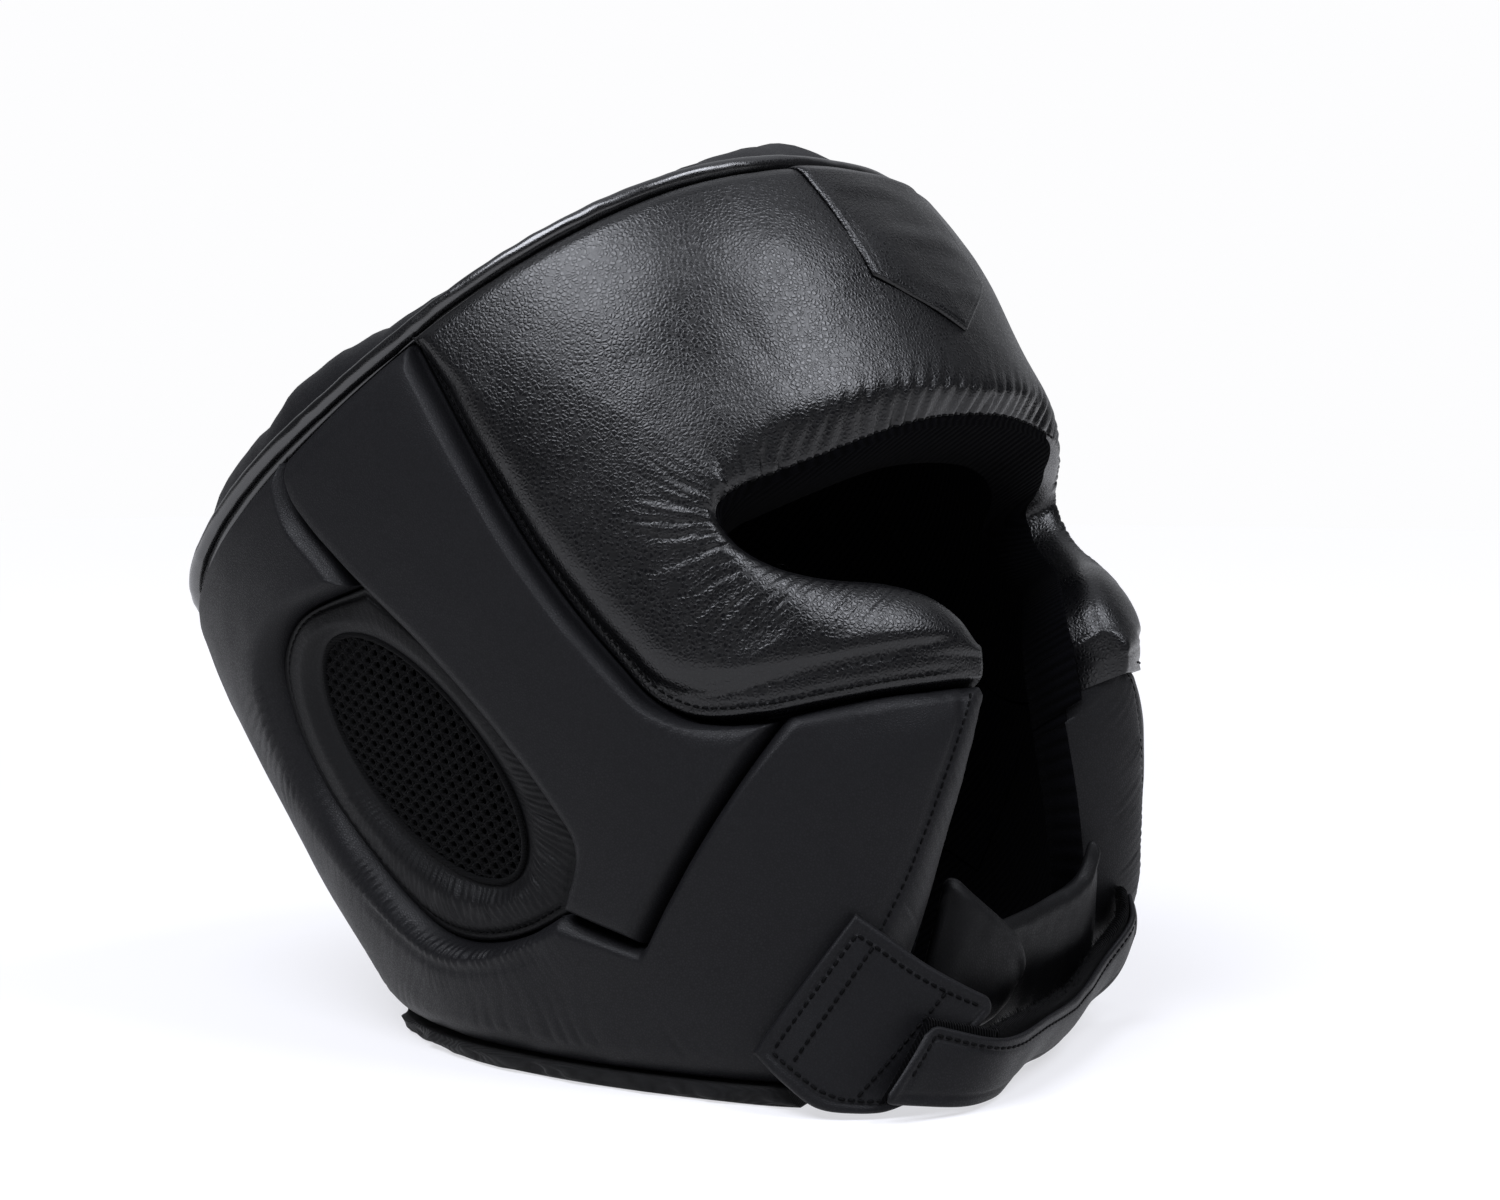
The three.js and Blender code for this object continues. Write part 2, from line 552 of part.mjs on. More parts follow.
// The crown is a soft cap of thin leather inside the rim, slumped into swells at the front and the sides.
// Bearings run from the face towards the wearer's right.
const CROWN_RISE = 22;
const CROWN_FOOT = RIM_HEIGHT + GAP + 0.2;
const CROWN_SWELLS = table(['bearing', 'spread', 'rise'],
  [-8, 26, 22],
  [92, 20, 14],
  [131, 24, 15],
  [-95, 20, 12]);
function crownHeight(bearing, reach, rise) {
  const part = (s) => s.rise * Math.exp(-(((bearing - s.bearing) / s.spread) ** 2));
  const swell = CROWN_SWELLS.reduce((sum, s) => sum + part(s), 0);
  return CROWN_FOOT + rise * Math.sqrt(1 - reach ** 2.4) + swell * (1 - reach ** 12) * reach ** 2;
}
function crownEdge(angle) {
  return onHead(angle, RIM_HEIGHT, bindingAt(angle).offset - BINDING_RADIUS - GAP);
}
function crown() {
  const rows = 18;
  const columns = 10;
  const rings = Array.from({ length: rows + 1 }, (_, i) => {
    const angle = THREE.MathUtils.lerp(7, 173, i / rows);
    const edge = crownEdge(angle);
    const face = (shrink) => Array.from({ length: columns + 1 }, (_, j) => {
      const x = edge.x * Math.cos(Math.PI * j / columns);
      const bearing = THREE.MathUtils.radToDeg(Math.atan2(-x, -edge.y));
      const limit = crownEdge(bearing);
      const reach = Math.min(Math.hypot(x, edge.y) / Math.hypot(limit.x, limit.y), 1);
      const draw = 1 - shrink / 90;
      return new THREE.Vector3(x * draw, edge.y * draw, crownHeight(bearing, reach, CROWN_RISE - shrink));
    });
    return [...face(0), ...face(LEATHER - 0.4).reverse()];
  });
  return loft(rings);
}

// The lower binding is a level horseshoe of tape on the floor, from jaw corner to jaw corner round the back
const FOOT_START = 79;
const FOOT_END = 276;
const FOOT_STEPS = 36;
function footBinding() {
  const rings = Array.from({ length: FOOT_STEPS + 1 }, (_, i) => {
    const angle = THREE.MathUtils.lerp(FOOT_START, FOOT_END, i / FOOT_STEPS);
    const corner = (offset, rise) =>
      atRest(onHead(angle, floorHeight(angle, rise, offset), offset)).setZ(rise);
    return [corner(FOOT_OUTSIDE - 1.2, 0), corner(FOOT_OUTSIDE, 1.2), corner(FOOT_OUTSIDE, FOOT_HEIGHT - 1),
      corner(FOOT_OUTSIDE - 1, FOOT_HEIGHT), corner(FOOT_INSIDE, FOOT_HEIGHT), corner(FOOT_INSIDE, 0)];
  });
  return loft(rings);
}

// A plain five-sided patch on the middle of the brow, from the rim down to a point
const PATCH = { halfAngle: 12.6, top: 57.4, corner: 18, point: 0.5, thick: 1 };
function browPatch() {
  const heights = [PATCH.point + 1, 6, 12, PATCH.corner, 28, 38, 47, 53, 56, PATCH.top];
  const columns = 4;
  const rings = heights.map((height) => {
    const half = PATCH.halfAngle * Math.min(1, (height - PATCH.point) / (PATCH.corner - PATCH.point));
    const ground = -RIM_DROP * roll(RIM_HEIGHT - height, RIM_ROLL) + GAP;
    const face = (lift) => Array.from({ length: columns + 1 }, (_, j) =>
      onHead(half * (2 * j / columns - 1), height, ground + lift));
    return [...face(PATCH.thick), ...face(0).reverse()];
  });
  return loft(rings);
}

// Chin pieces, given in the resting frame by their upper and lower edges
const BAND_COLUMNS = ['uX', 'uY', 'uZ', 'lX', 'lY', 'lZ', 'bow'];
const TAB_ROWS = table(BAND_COLUMNS,
  [-74.5, -115, 47.5, -88, -94.5, 14, 2.6],
  [-69.5, -120, 42.5, -88, -103, 8, 2.4],
  [-62, -127, 35, -86, -111.5, 2.6, 1.6],
  [-54, -133, 29, -80.5, -119.5, 1.3, 0.8],
  [-48.5, -137, 25.5, -72.5, -126.5, 1.3, 0.4]);
const STRAP_ROWS = table(BAND_COLUMNS,
  [-65.8, -133, 20.5, -79, -129.5, 3.6, 0.4],
  [-50, -140.6, 16.8, -57, -137, 1.4, 0.4],
  [-20, -138, 17.6, -18, -127, 1.6, 1.5],
  [5, -132, 18, 7, -123, 1.8, 1.5],
  [32.4, -124.8, 22.5, 38, -116, 8, 1.2],
  [48.2, -124.5, 31, 54.5, -117, 14.5, 0.8],
  [54.7, -120.4, 36.5, 63, -117.6, 24, 0.8]);
const RIGHT_WING_ROWS = table(BAND_COLUMNS,
  [-32.5, -115, 53.5, -42, -110.5, 18, 0.5],
  [-28.5, -119.5, 47.5, -37, -114, 14, 1],
  [-20, -122.5, 40.5, -26, -118, 12, 1],
  [-8, -125, 31, -12, -119, 15, 0.5]);
const LEFT_WING_ROWS = table(BAND_COLUMNS,
  [-12, -116.5, 36.5, -12, -111, 6, 0.5],
  [14, -117.5, 40, 14, -112, 6, 1],
  [31.5, -118.5, 45.5, 34, -112.5, 9, 1],
  [36.5, -120, 57, 44, -113, 17, 0.5]);
const WING_THICK = 3.4;

function piece(name, geometry, material) {
  const plain = geometry.index ? geometry : mergeVertices(geometry);
  plain.computeVertexNormals();
  const mesh = new THREE.Mesh(plain, material.clone());
  mesh.name = name;
  return mesh;
}

// The padded shell is built as worn, then leaned back and lifted
const worn = new THREE.Group();
worn.rotation.x = -LEAN;
worn.position.z = STAND_HEIGHT;
worn.add(
  piece('face_panel', facePanel(), LEATHER_BLACK),
  piece('brow_patch', browPatch(), SMOOTH_BLACK),
  piece('lining', lining(), LINING_BLACK),
  piece('crown', crown(), SMOOTH_BLACK),
  piece('rim_binding', rimBinding(), LEATHER_BLACK));
for (const [suffix, side] of [['right', 1], ['left', -1]]) {
  worn.add(
    piece('side_panel_' + suffix, sidePanel(side), SMOOTH_BLACK),
    piece('jaw_panel_' + suffix, jawPanel(side), SMOOTH_BLACK),
    piece('ear_ring_' + suffix, earRing(side), SMOOTH_BLACK),
    piece('ear_mesh_' + suffix, earMesh(side), MESH_BLACK));
}

const helmet = new THREE.Group();
helmet.add(
  worn,
  piece('foot_binding', footBinding(), LINING_BLACK),
  piece('chin_tab', leatherBand(TAB_ROWS, LEATHER, 2, 3), SMOOTH_BLACK),
  piece('chin_strap', leatherBand(STRAP_ROWS, LEATHER, 4, 2), SMOOTH_BLACK),
  piece('chin_wing_right', leatherBand(RIGHT_WING_ROWS, WING_THICK, 3, 3), SMOOTH_BLACK),
  piece('chin_wing_left', leatherBand(LEFT_WING_ROWS, WING_THICK, 3, 3), SMOOTH_BLACK));
helmet.children.forEach((child) => { child.position.y += BOX_CENTRE_SHIFT; });

export default helmet;
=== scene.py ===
# %% [markdown]
# # A padded leather headguard
# This lesson dresses a plain solid model of a sparring headguard, so that it looks like the real one.
# The real guard is foam under black cowhide, sewn from a few moulded panels, with a knitted lining inside.
# Each panel is made here as a fine mesh on the same head form as the solid.
# Then it is creased, stitched and given the finish of its leather or cloth.

# %% Load the frame
import math
import bpy
import numpy as np
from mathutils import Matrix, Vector


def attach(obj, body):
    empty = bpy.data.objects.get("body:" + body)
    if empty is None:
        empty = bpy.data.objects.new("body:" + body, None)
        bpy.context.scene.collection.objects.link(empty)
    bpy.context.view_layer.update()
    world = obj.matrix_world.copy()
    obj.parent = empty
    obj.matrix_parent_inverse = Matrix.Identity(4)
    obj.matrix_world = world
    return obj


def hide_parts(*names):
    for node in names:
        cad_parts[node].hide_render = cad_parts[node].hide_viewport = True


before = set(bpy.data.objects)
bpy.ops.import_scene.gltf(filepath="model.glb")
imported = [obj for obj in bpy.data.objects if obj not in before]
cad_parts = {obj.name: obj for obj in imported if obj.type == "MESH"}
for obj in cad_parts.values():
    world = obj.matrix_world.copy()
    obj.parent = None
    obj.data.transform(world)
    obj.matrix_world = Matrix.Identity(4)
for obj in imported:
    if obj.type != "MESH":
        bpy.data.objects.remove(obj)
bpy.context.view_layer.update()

# %% [markdown]
# ## The head form
# A guard is moulded over a head form, so every panel lies on one smooth surface.
# A place on it is an angle in degrees and a height in millimetres.
# The angle starts at the middle of the face and grows towards the wearer's right.
# The sections are superellipses, a little squarer than an ellipse. They narrow towards both ends.
# The guard stands on its lower edge, so the form is leaned back before it is used.

# %% Head form
HALF_SIZE = {"side": 108.3, "front": 125.3, "back": 118}
TOP_TAPER = {"side": 18.8, "front": 28, "back": 16}
BOTTOM_TAPER = {"side": 8.7, "front": 24.8, "back": 4}
SQUARENESS, WIDEST_HEIGHT, TAPER_SPAN = 2.38, 20, 100
RIM_HEIGHT, MEAN_RADIUS, PAD = 58.5, 110, 22
LEAN, STAND_HEIGHT, BOX_CENTRE_SHIFT = math.radians(35.6), 116.3, 5.29
MM = 0.001


def on_head(angle, height, offset=0.0):
    """Points of the form as worn, in millimetres, grown by offset."""
    angle, height, offset = np.broadcast_arrays(np.asarray(angle, float), height, offset)
    share = ((height - WIDEST_HEIGHT) / TAPER_SPAN) ** 2
    upper = height > WIDEST_HEIGHT
    half = {name: size - np.where(upper, TOP_TAPER[name], BOTTOM_TAPER[name]) * share + offset
            for name, size in HALF_SIZE.items()}
    across, ahead = np.sin(np.radians(angle)), np.cos(np.radians(angle))
    depth = np.where(ahead > 0, half["front"], half["back"])
    inverse = np.abs(across / half["side"]) ** SQUARENESS + np.abs(ahead / depth) ** SQUARENESS
    radius = inverse ** (-1 / SQUARENESS)
    return np.stack([-radius * across, -radius * ahead, height + 0 * radius], -1)


def at_rest(worn):
    """Points as worn, leaned back on to the floor, in metres."""
    x, y, z = np.moveaxis(worn, -1, 0)
    back = y * math.cos(LEAN) + z * math.sin(LEAN) + BOX_CENTRE_SHIFT
    up = STAND_HEIGHT - y * math.sin(LEAN) + z * math.cos(LEAN)
    return np.stack([x, back, up], -1) * MM


def floor_height(angle, rise, offset=0.0):
    """The height as worn at which the form comes to a rise above the floor."""
    height = np.full(np.shape(angle), -100.0)
    for _ in range(30):
        y = on_head(angle, height, offset)[..., 1]
        height = (rise - STAND_HEIGHT + y * math.sin(LEAN)) / math.cos(LEAN)
    return height


print("the rim stands", round(at_rest(on_head(0, RIM_HEIGHT))[2] * 1000), "mm above the floor in front")

# %% [markdown]
# ## Small tools for shapes
# A panel is a ribbon: each row of a table links a point on one edge to a point on the other.
# The edges are smooth curves with a kink where a pattern maker would cut a corner.
# Leather is never even, so a soft noise moves it a little.
# The noise comes from a fixed list of random numbers, so it is the same on each run.

# %% Curves, distances and noise
def table(columns, *rows):
    """Rows with named columns."""
    return [dict(zip(columns.split(), row)) for row in rows]


def kinked(points, corners):
    """A smooth curve through points, with a kink at each corner. Its parameter counts points."""
    points, corners = np.array(points, float), np.array(corners)
    last = len(points) - 1

    def curve(t):
        """Points of the curve at parameters t."""
        t = np.asarray(t, float)
        i = np.clip(t.astype(int), 0, last - 1)
        u = (t - i)[:, None]
        p1, p2 = points[i], points[i + 1]
        p0 = np.where(((i == 0) | corners[i])[:, None], 2 * p1 - p2, points[i - 1])
        after = points[np.minimum(i + 2, last)]
        p3 = np.where(((i + 2 > last) | corners[i + 1])[:, None], 2 * p2 - p1, after)
        return 0.5 * (2 * p1 + (p2 - p0) * u + (2 * p0 - 5 * p1 + 4 * p2 - p3) * u ** 2
                      + (3 * p1 - p0 - 3 * p2 + p3) * u ** 3)
    return curve


def unrolled(place):
    """Angle and height as flat millimetres."""
    return np.stack([np.radians(place[..., 0]) * MEAN_RADIUS, place[..., 1]], -1)


def distance_to(line, places):
    """Distance from flat places to a flat line of points."""
    best = np.full(places.shape[:-1], 1e9)
    for start, end in zip(line[:-1], line[1:]):
        along = end - start
        share = np.clip((places - start) @ along / max(along @ along, 1e-9), 0, 1)
        best = np.minimum(best, np.linalg.norm(places - start - share[..., None] * along, axis=-1))
    return best


LATTICE = np.random.default_rng(11).uniform(-1, 1, (256, 256))


def noise(x, y):
    """Soft noise from -1 to 1 that turns over about once for each unit."""
    x, y = np.broadcast_arrays(np.asarray(x, float), np.asarray(y, float))
    i, j = np.floor(x).astype(int), np.floor(y).astype(int)
    u, v = x - i, y - j
    u, v = u * u * (3 - 2 * u), v * v * (3 - 2 * v)
    i, j, k, m = i % 256, j % 256, (i + 1) % 256, (j + 1) % 256
    low = LATTICE[i, j] * (1 - u) + LATTICE[k, j] * u
    high = LATTICE[i, m] * (1 - u) + LATTICE[k, m] * u
    return low * (1 - v) + high * v


def smooth(x, start, end):
    """A soft step from 0 at start to 1 at end."""
    u = np.clip((x - start) / (end - start), 0, 1)
    return u * u * (3 - 2 * u)


def roll(x, power):
    """Share of an edge's drop that is left at x widths from it. Power 2 is round, and 1 a flat bevel."""
    inward = 1 - np.clip(x, 0, 1)
    return 1 - (1 - inward ** power) ** (1 / power)


print("the noise at one place:", round(float(noise(0.5, 0.5)), 3))

# %% [markdown]
# ## From points to pieces
# A loft joins rings of points into a closed skin. Every piece of the guard is made from such skins.
# A piece then rides on the one rigid body of the model, and the plain solids it stands for are hidden.

# %% Lofts and pieces
def loft(rings, wrap=False):
    """Points and quads of a closed skin through rings. Strips close its ends, unless it wraps round."""
    count, size = rings.shape[:2]
    index = np.arange(count * size).reshape(count, size)
    nxt = np.roll(index, -1, 0) if wrap else index[1:]
    here = index if wrap else index[:-1]
    quads = [np.stack([here, nxt, np.roll(nxt, -1, 1), np.roll(here, -1, 1)], -1).reshape(-1, 4)]
    if not wrap:
        j = np.arange(size // 2 - 1)
        k = size - 1 - j
        quads.append(np.stack([j, j + 1, k - 1, k], -1))
        end = (count - 1) * size
        quads.append(end + np.stack([k, k - 1, j + 1, j], -1))
    return facing_out(rings.reshape(-1, 3), np.concatenate(quads))


def facing_out(points, quads):
    """Turns the faces of a closed skin round if they point inwards."""
    a, b, c, d = (points[quads[:, i]] - points.mean(0) for i in range(4))
    volume = np.sum(np.cross(a, b) * c) + np.sum(np.cross(a, c) * d)
    return points, quads if volume > 0 else quads[:, ::-1]


def joined(skins):
    """Several skins as one list of points and one of faces."""
    starts = np.cumsum([0] + [len(points) for points, _ in skins])
    return (np.concatenate([points for points, _ in skins]),
            np.concatenate([faces + start for (_, faces), start in zip(skins, starts)]))


def make_piece(name, skins, finish, nodes=()):
    """A smooth mesh object from skins in metres, riding on the guard."""
    points, faces = joined(skins)
    mesh = bpy.data.meshes.new(name)
    mesh.from_pydata(points.tolist(), [], faces.tolist())
    mesh.polygons.foreach_set("use_smooth", np.ones(len(mesh.polygons), bool))
    mesh.materials.append(finish)
    piece = bpy.data.objects.new(name, mesh)
    bpy.context.scene.collection.objects.link(piece)
    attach(piece, "root")
    if nodes:
        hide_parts(*nodes)
    print(f"{name}: {2 * len(faces)} triangles")
    return piece


SQUARE = np.array([(0, 0, 0), (1, 0, 0), (1, 1, 0), (0, 1, 0)], float)
print("a loft through two squares has", len(loft(np.array([SQUARE, SQUARE + (0, 0, 1)]))[1]), "faces")

# %% [markdown]
# ## Finishes
# A finish is a small network of nodes. One function adds a node, sets it and links it.
# Colours are written as they look on a screen and are turned into linear light here.

# %% Nodes and colours
def linear(code):
    """A colour such as 1b1b1d as linear red, green and blue, with full cover."""
    parts = [int(code[i:i + 2], 16) / 255 for i in (0, 2, 4)]
    return tuple(c / 12.92 if c <= 0.04045 else ((c + 0.055) / 1.055) ** 2.4 for c in parts) + (1.0,)


def add_node(tree, kind, settings=None, **inputs):
    """Adds a node. A value that is an output socket is linked, and any other value is set."""
    node = tree.nodes.new(kind)
    for name, value in (settings or {}).items():
        setattr(node, name, value)
    for name, value in inputs.items():
        key = name.replace("_", " ")
        numbered = key.startswith("in") and key[2:].isdigit()
        socket = node.inputs[int(key[2:]) if numbered else key]
        if isinstance(value, bpy.types.NodeSocket):
            tree.links.new(value, socket)
        else:
            socket.default_value = value
    return node


def new_finish(name):
    """An empty material, its node tree and its output node."""
    finish = bpy.data.materials.new(name)
    finish.use_nodes = True
    finish.node_tree.nodes.clear()
    return finish, finish.node_tree, finish.node_tree.nodes.new("ShaderNodeOutputMaterial")


print("mid grey on a screen is", round(linear("808080")[0], 3), "in linear light")

# %% [markdown]
# ### Cowhide
# The guard is chrome-tanned cowhide with a black pigment coat and a clear, half-matt top coat.
# Its grain is a net of small pebbles. A Voronoi pattern gives them, and its cell edges give the fine grooves.
# The pebbles are about 1.1 mm wide on the stretched face, and finer on the pressed side panels.
# The grooves hold less polish, so they are rougher. They are also coloured a little darker than the pebble
# tops, as painted shade in the grooves.

# %% Cowhide finish
PORE_MM, WEAR_MM, GROOVE_MATT = 0.45, 28, 0.12


def cowhide(name, tops, grooves, grain_mm, depth_mm, roughness, polish):
    """Pigmented leather with a pebble grain of a given width and depth."""
    finish, tree, out = new_finish(name)
    place = add_node(tree, "ShaderNodeTexCoord").outputs["Object"]
    warp = add_node(tree, "ShaderNodeTexNoise", Vector=place, Scale=1 / (3 * grain_mm * MM), Detail=3.0)
    bent = add_node(tree, "ShaderNodeVectorMath", {"operation": "MULTIPLY_ADD"}, in0=warp.outputs["Color"],
                    in1=(0.8 * grain_mm * MM,) * 3, in2=place).outputs[0]
    pebble = add_node(tree, "ShaderNodeTexVoronoi", {"feature": "DISTANCE_TO_EDGE"}, Vector=bent,
                      Scale=1 / (grain_mm * MM))
    top = add_node(tree, "ShaderNodeMapRange", {"interpolation_type": "SMOOTHSTEP"},
                   in0=pebble.outputs["Distance"], in1=0.0, in2=0.32).outputs[0]
    pores = add_node(tree, "ShaderNodeTexNoise", Vector=place, Scale=1 / (PORE_MM * MM), Detail=2.0)
    wear = add_node(tree, "ShaderNodeTexNoise", Vector=place, Scale=1 / (WEAR_MM * MM), Detail=4.0)
    height = add_node(tree, "ShaderNodeMath", {"operation": "MULTIPLY_ADD"}, in0=pores.outputs["Fac"],
                      in1=0.25, in2=top).outputs[0]
    bump = add_node(tree, "ShaderNodeBump", Height=height, Distance=depth_mm * MM, Strength=1.0)
    # Painted shade: between the pebbles the colour goes to the darker groove colour.
    colour = add_node(tree, "ShaderNodeMix", {"data_type": "RGBA"}, in0=top, in6=linear(grooves),
                      in7=linear(tops))
    shine = add_node(tree, "ShaderNodeMapRange", in0=wear.outputs["Fac"], in1=0.3, in2=0.7,
                     in3=roughness - 0.05, in4=roughness + 0.05).outputs[0]
    rough = add_node(tree, "ShaderNodeMath", {"operation": "MULTIPLY_ADD"}, in0=top, in1=-GROOVE_MATT,
                     in2=shine)
    rougher = add_node(tree, "ShaderNodeMath", {"operation": "ADD"}, in0=rough.outputs[0], in1=GROOVE_MATT)
    skin = add_node(tree, "ShaderNodeBsdfPrincipled", Base_Color=colour.outputs["Result"],
                    Roughness=rougher.outputs[0], IOR=1.5, Normal=bump.outputs["Normal"])
    skin.inputs["Specular IOR Level"].default_value = polish
    tree.links.new(skin.outputs[0], out.inputs["Surface"])
    return finish


# Pebbled: a half-gloss coat on deep grain, so a broad light breaks into small sparks.
grained_cowhide = cowhide("pebbled_cowhide_semi_gloss", "060608", "030304", grain_mm=1.1, depth_mm=0.05,
                          roughness=0.25, polish=0.38)
# Pressed: flattened grain under a matt coat, so it looks even and a little greyer.
fine_cowhide = cowhide("pressed_cowhide_matt", "151517", "0d0d0f", grain_mm=0.7, depth_mm=0.03,
                       roughness=0.44, polish=0.15)
# Drummed: tumbled soft, so the folds stay dark and only their tops show a dull light.
soft_cowhide = cowhide("drummed_cowhide_soft", "09090b", "050506", grain_mm=0.8, depth_mm=0.03,
                       roughness=0.45, polish=0.18)
# Stretched: pulled hard over a cord, so the grain is nearly gone and one bright line runs along it.
stretched_cowhide = cowhide("stretched_cowhide_gloss", "0a0a0c", "060607", grain_mm=0.9, depth_mm=0.008,
                            roughness=0.17, polish=0.9)
print("finishes:", grained_cowhide.name, fine_cowhide.name, soft_cowhide.name, stretched_cowhide.name)

# %% [markdown]
# ### Cloth, mesh, tape and thread
# The lining is a black ribbed knit, the ear window a spacer mesh, and the lower edge is bound in woven tape.
# All are polyester: no gloss, a little sheen from loose fibres, and a pattern of parallel threads.
# A wave pattern gives the ribs. Where the ribs and fuzz are low the colour is darker, as painted shade in the
# valleys.
# The thread of the seams is bonded nylon, which is smoother and catches a small light.

# %% Cloth finishes
def woven(name, colour, rib_mm, depth_mm, roughness, sheen=0.0, direction="X", polish=0.2):
    """Black cloth with ribs of a given spacing."""
    finish, tree, out = new_finish(name)
    place = add_node(tree, "ShaderNodeTexCoord").outputs["Object"]
    ribs = add_node(tree, "ShaderNodeTexWave", {"bands_direction": direction}, Vector=place,
                    Scale=math.tau / 20 / (rib_mm * MM), Distortion=0.6, Detail=2.0, Detail_Scale=3.0)
    fuzz = add_node(tree, "ShaderNodeTexNoise", Vector=place, Scale=1 / (0.5 * MM), Detail=3.0)
    height = add_node(tree, "ShaderNodeMath", {"operation": "MULTIPLY_ADD"}, in0=fuzz.outputs["Fac"],
                      in1=0.6, in2=ribs.outputs["Fac"]).outputs[0]
    bump = add_node(tree, "ShaderNodeBump", Height=height, Distance=depth_mm * MM, Strength=1.0)
    # Painted shade: low parts of the ribs and fuzz are coloured near black.
    painted_valley_shade = add_node(tree, "ShaderNodeMix", {"data_type": "RGBA"}, in0=height, in6=linear("020202"),
                     in7=linear(colour))
    cloth = add_node(tree, "ShaderNodeBsdfPrincipled", Base_Color=painted_valley_shade.outputs["Result"],
                     Roughness=roughness, Sheen_Weight=sheen, Sheen_Roughness=0.5,
                     Normal=bump.outputs["Normal"])
    cloth.inputs["Specular IOR Level"].default_value = polish
    tree.links.new(cloth.outputs[0], out.inputs["Surface"])
    return finish


# Knit: deep ribs that swallow the light, with painted shade in their valleys. They are drawn at 1.6 mm,
# coarser than real, so that they show.
ribbed_knit = woven("ribbed_polyester_knit", "060608", rib_mm=1.6, depth_mm=0.3, roughness=1.0,
                    direction="DIAGONAL", polish=0.03)
# Spacer mesh: firm filaments with a faint shine, dark in the holes.
spacer_mesh = woven("polyester_spacer_mesh", "060607", rib_mm=0.8, depth_mm=0.12, roughness=0.85,
                    sheen=0.02, direction="Z", polish=0.08)
# Tape: a flat weave with a slight dusty sheen at its edge.
edge_tape = woven("woven_polyester_tape", "0c0c0d", rib_mm=0.9, depth_mm=0.12, roughness=0.9, sheen=0.08)
# Thread: smooth and round, darker than the hide round it.
nylon_thread = woven("bonded_nylon_thread", "040405", rib_mm=0.5, depth_mm=0.05, roughness=0.6,
                     polish=0.06)
# Pile: tiny loops that send almost no light back.
loop_pile = woven("nylon_loop_pile", "030304", rib_mm=0.7, depth_mm=0.3, roughness=1.0, sheen=0.02,
                  polish=0.02)
print("cloths:", ribbed_knit.name, spacer_mesh.name, edge_tape.name, nylon_thread.name, loop_pile.name)

# %% [markdown]
# ## A padded panel
# On the real guard a flat piece of hide is pulled over shaped foam and sewn down along its edges.
# So the outside is a smooth crown that rolls down towards every edge.
# It could be sculpted by hand. Here rows of a table drive it, because the rows match the solid model's own.
# The roll of an edge has a width, a drop, a power that makes it round or flat, and a flat strip at the seam.

# %% Rolled edges
EDGE_SHARES = np.linspace(0, 1, 17) ** 1.3
CREASE = 0.15
STRIP_SINK = 0.18


def edge_drop(distance, drop, width, strip, power):
    """How far a panel has sunk at a distance from one edge."""
    after = roll((distance - strip) / width, power)
    slope = np.clip(1 - distance / np.maximum(strip, 1e-9), 0, 1)
    return drop * np.where(strip > 0.5, (1 - STRIP_SINK) * after + STRIP_SINK * slope, after)


def bevel_drop(distance, fall, width):
    """How far a flat bevel beside an edge has sunk. It meets the crown of the panel in a crease."""
    ramp = 1 - distance / np.maximum(width, 0.1)
    return fall * (ramp + np.sqrt(ramp ** 2 + CREASE)) / 2


PANEL_COLUMNS = dict(aRoll=6, aDrop=7, aStrip=0, aPower=2, aBevel=0, aFall=0,
                     bRoll=6, bDrop=7, bStrip=0, bPower=2, bStep=0, bulge=0, dent=0, flare=0)
DENT_HEIGHT, DENT_SPREAD = 5, 21


def panel_drop(place, share, away, col, ends):
    """How far each place lies below the head form: the deepest edge, less bulge and flare, with the dent."""
    drops = [edge_drop(away["a"], col["aDrop"] - col["aFall"], col["aRoll"], col["aStrip"], col["aPower"])
             + bevel_drop(away["a"], col["aFall"], col["aBevel"])]
    drops += [edge_drop(away["b"], *(col["b" + key] for key in ("Drop", "Roll", "Strip", "Power")))]
    drops += [edge_drop(away[e], end["drop"], end["roll"], 0.0, end.get("power", 2.0))
              for e, end in ends.items()]
    drop = np.maximum.reduce(drops) - col["bulge"] * np.sin(math.pi * share ** 1.35)
    dent = col["dent"] * np.exp(-((place[..., 1] - DENT_HEIGHT) / DENT_SPREAD) ** 2)
    return drop - col["flare"] * share ** 3 + dent


print("1 mm in from a round edge, 6 mm wide and 7 mm deep, the drop is",
      round(float(edge_drop(1.0, 7, 6, 0, 2)), 1), "mm")

# %% [markdown]
# ### Folds and grooves
# Where the hide had to be eased in, it gathers: folds run away from the edge and die out.
# A table gives each group of folds the rows it lies between, its spacing, depth, sharpness and slant,
# and how near to the edge it starts, how far it goes and how fast it fades.
# The folds could be a bump texture, but real ones bend the outline of a highlight, so these move the mesh.

# %% Folds
FOLDS = "start end spacing depth sharp slant near far fade"
SLOW_WAVES, QUICK_WAVES = 0.35, 0.12


def gathered(rows, along, away, row_at):
    """Folds that run away from an edge, from a table of where they are and how they look."""
    height = 0
    for i, g in enumerate(rows):
        seat = smooth(row_at, g["start"] - 0.7, g["start"] + 0.7)
        seat = seat * smooth(row_at, g["end"] + 0.7, g["end"] - 0.7)
        seat = seat * smooth(away, g["near"] - 1.5, g["near"])
        seat = seat * np.exp(-np.clip(away - g["far"], 0, 99) / g["fade"])
        wander = 0.5 * noise(along / (2.2 * g["spacing"]) + 31 * i, away / 11)
        phase = (along + g["slant"] * away) / g["spacing"] + wander
        wave = 1 - 2 * np.abs(2 * (phase % 1) - 1) ** g["sharp"]
        patchy = 0.5 + 0.5 * noise(along / (1.7 * g["spacing"]) + 57 * i, away / 9 + 5)
        height = height + g["depth"] * seat * patchy * wave
    return height


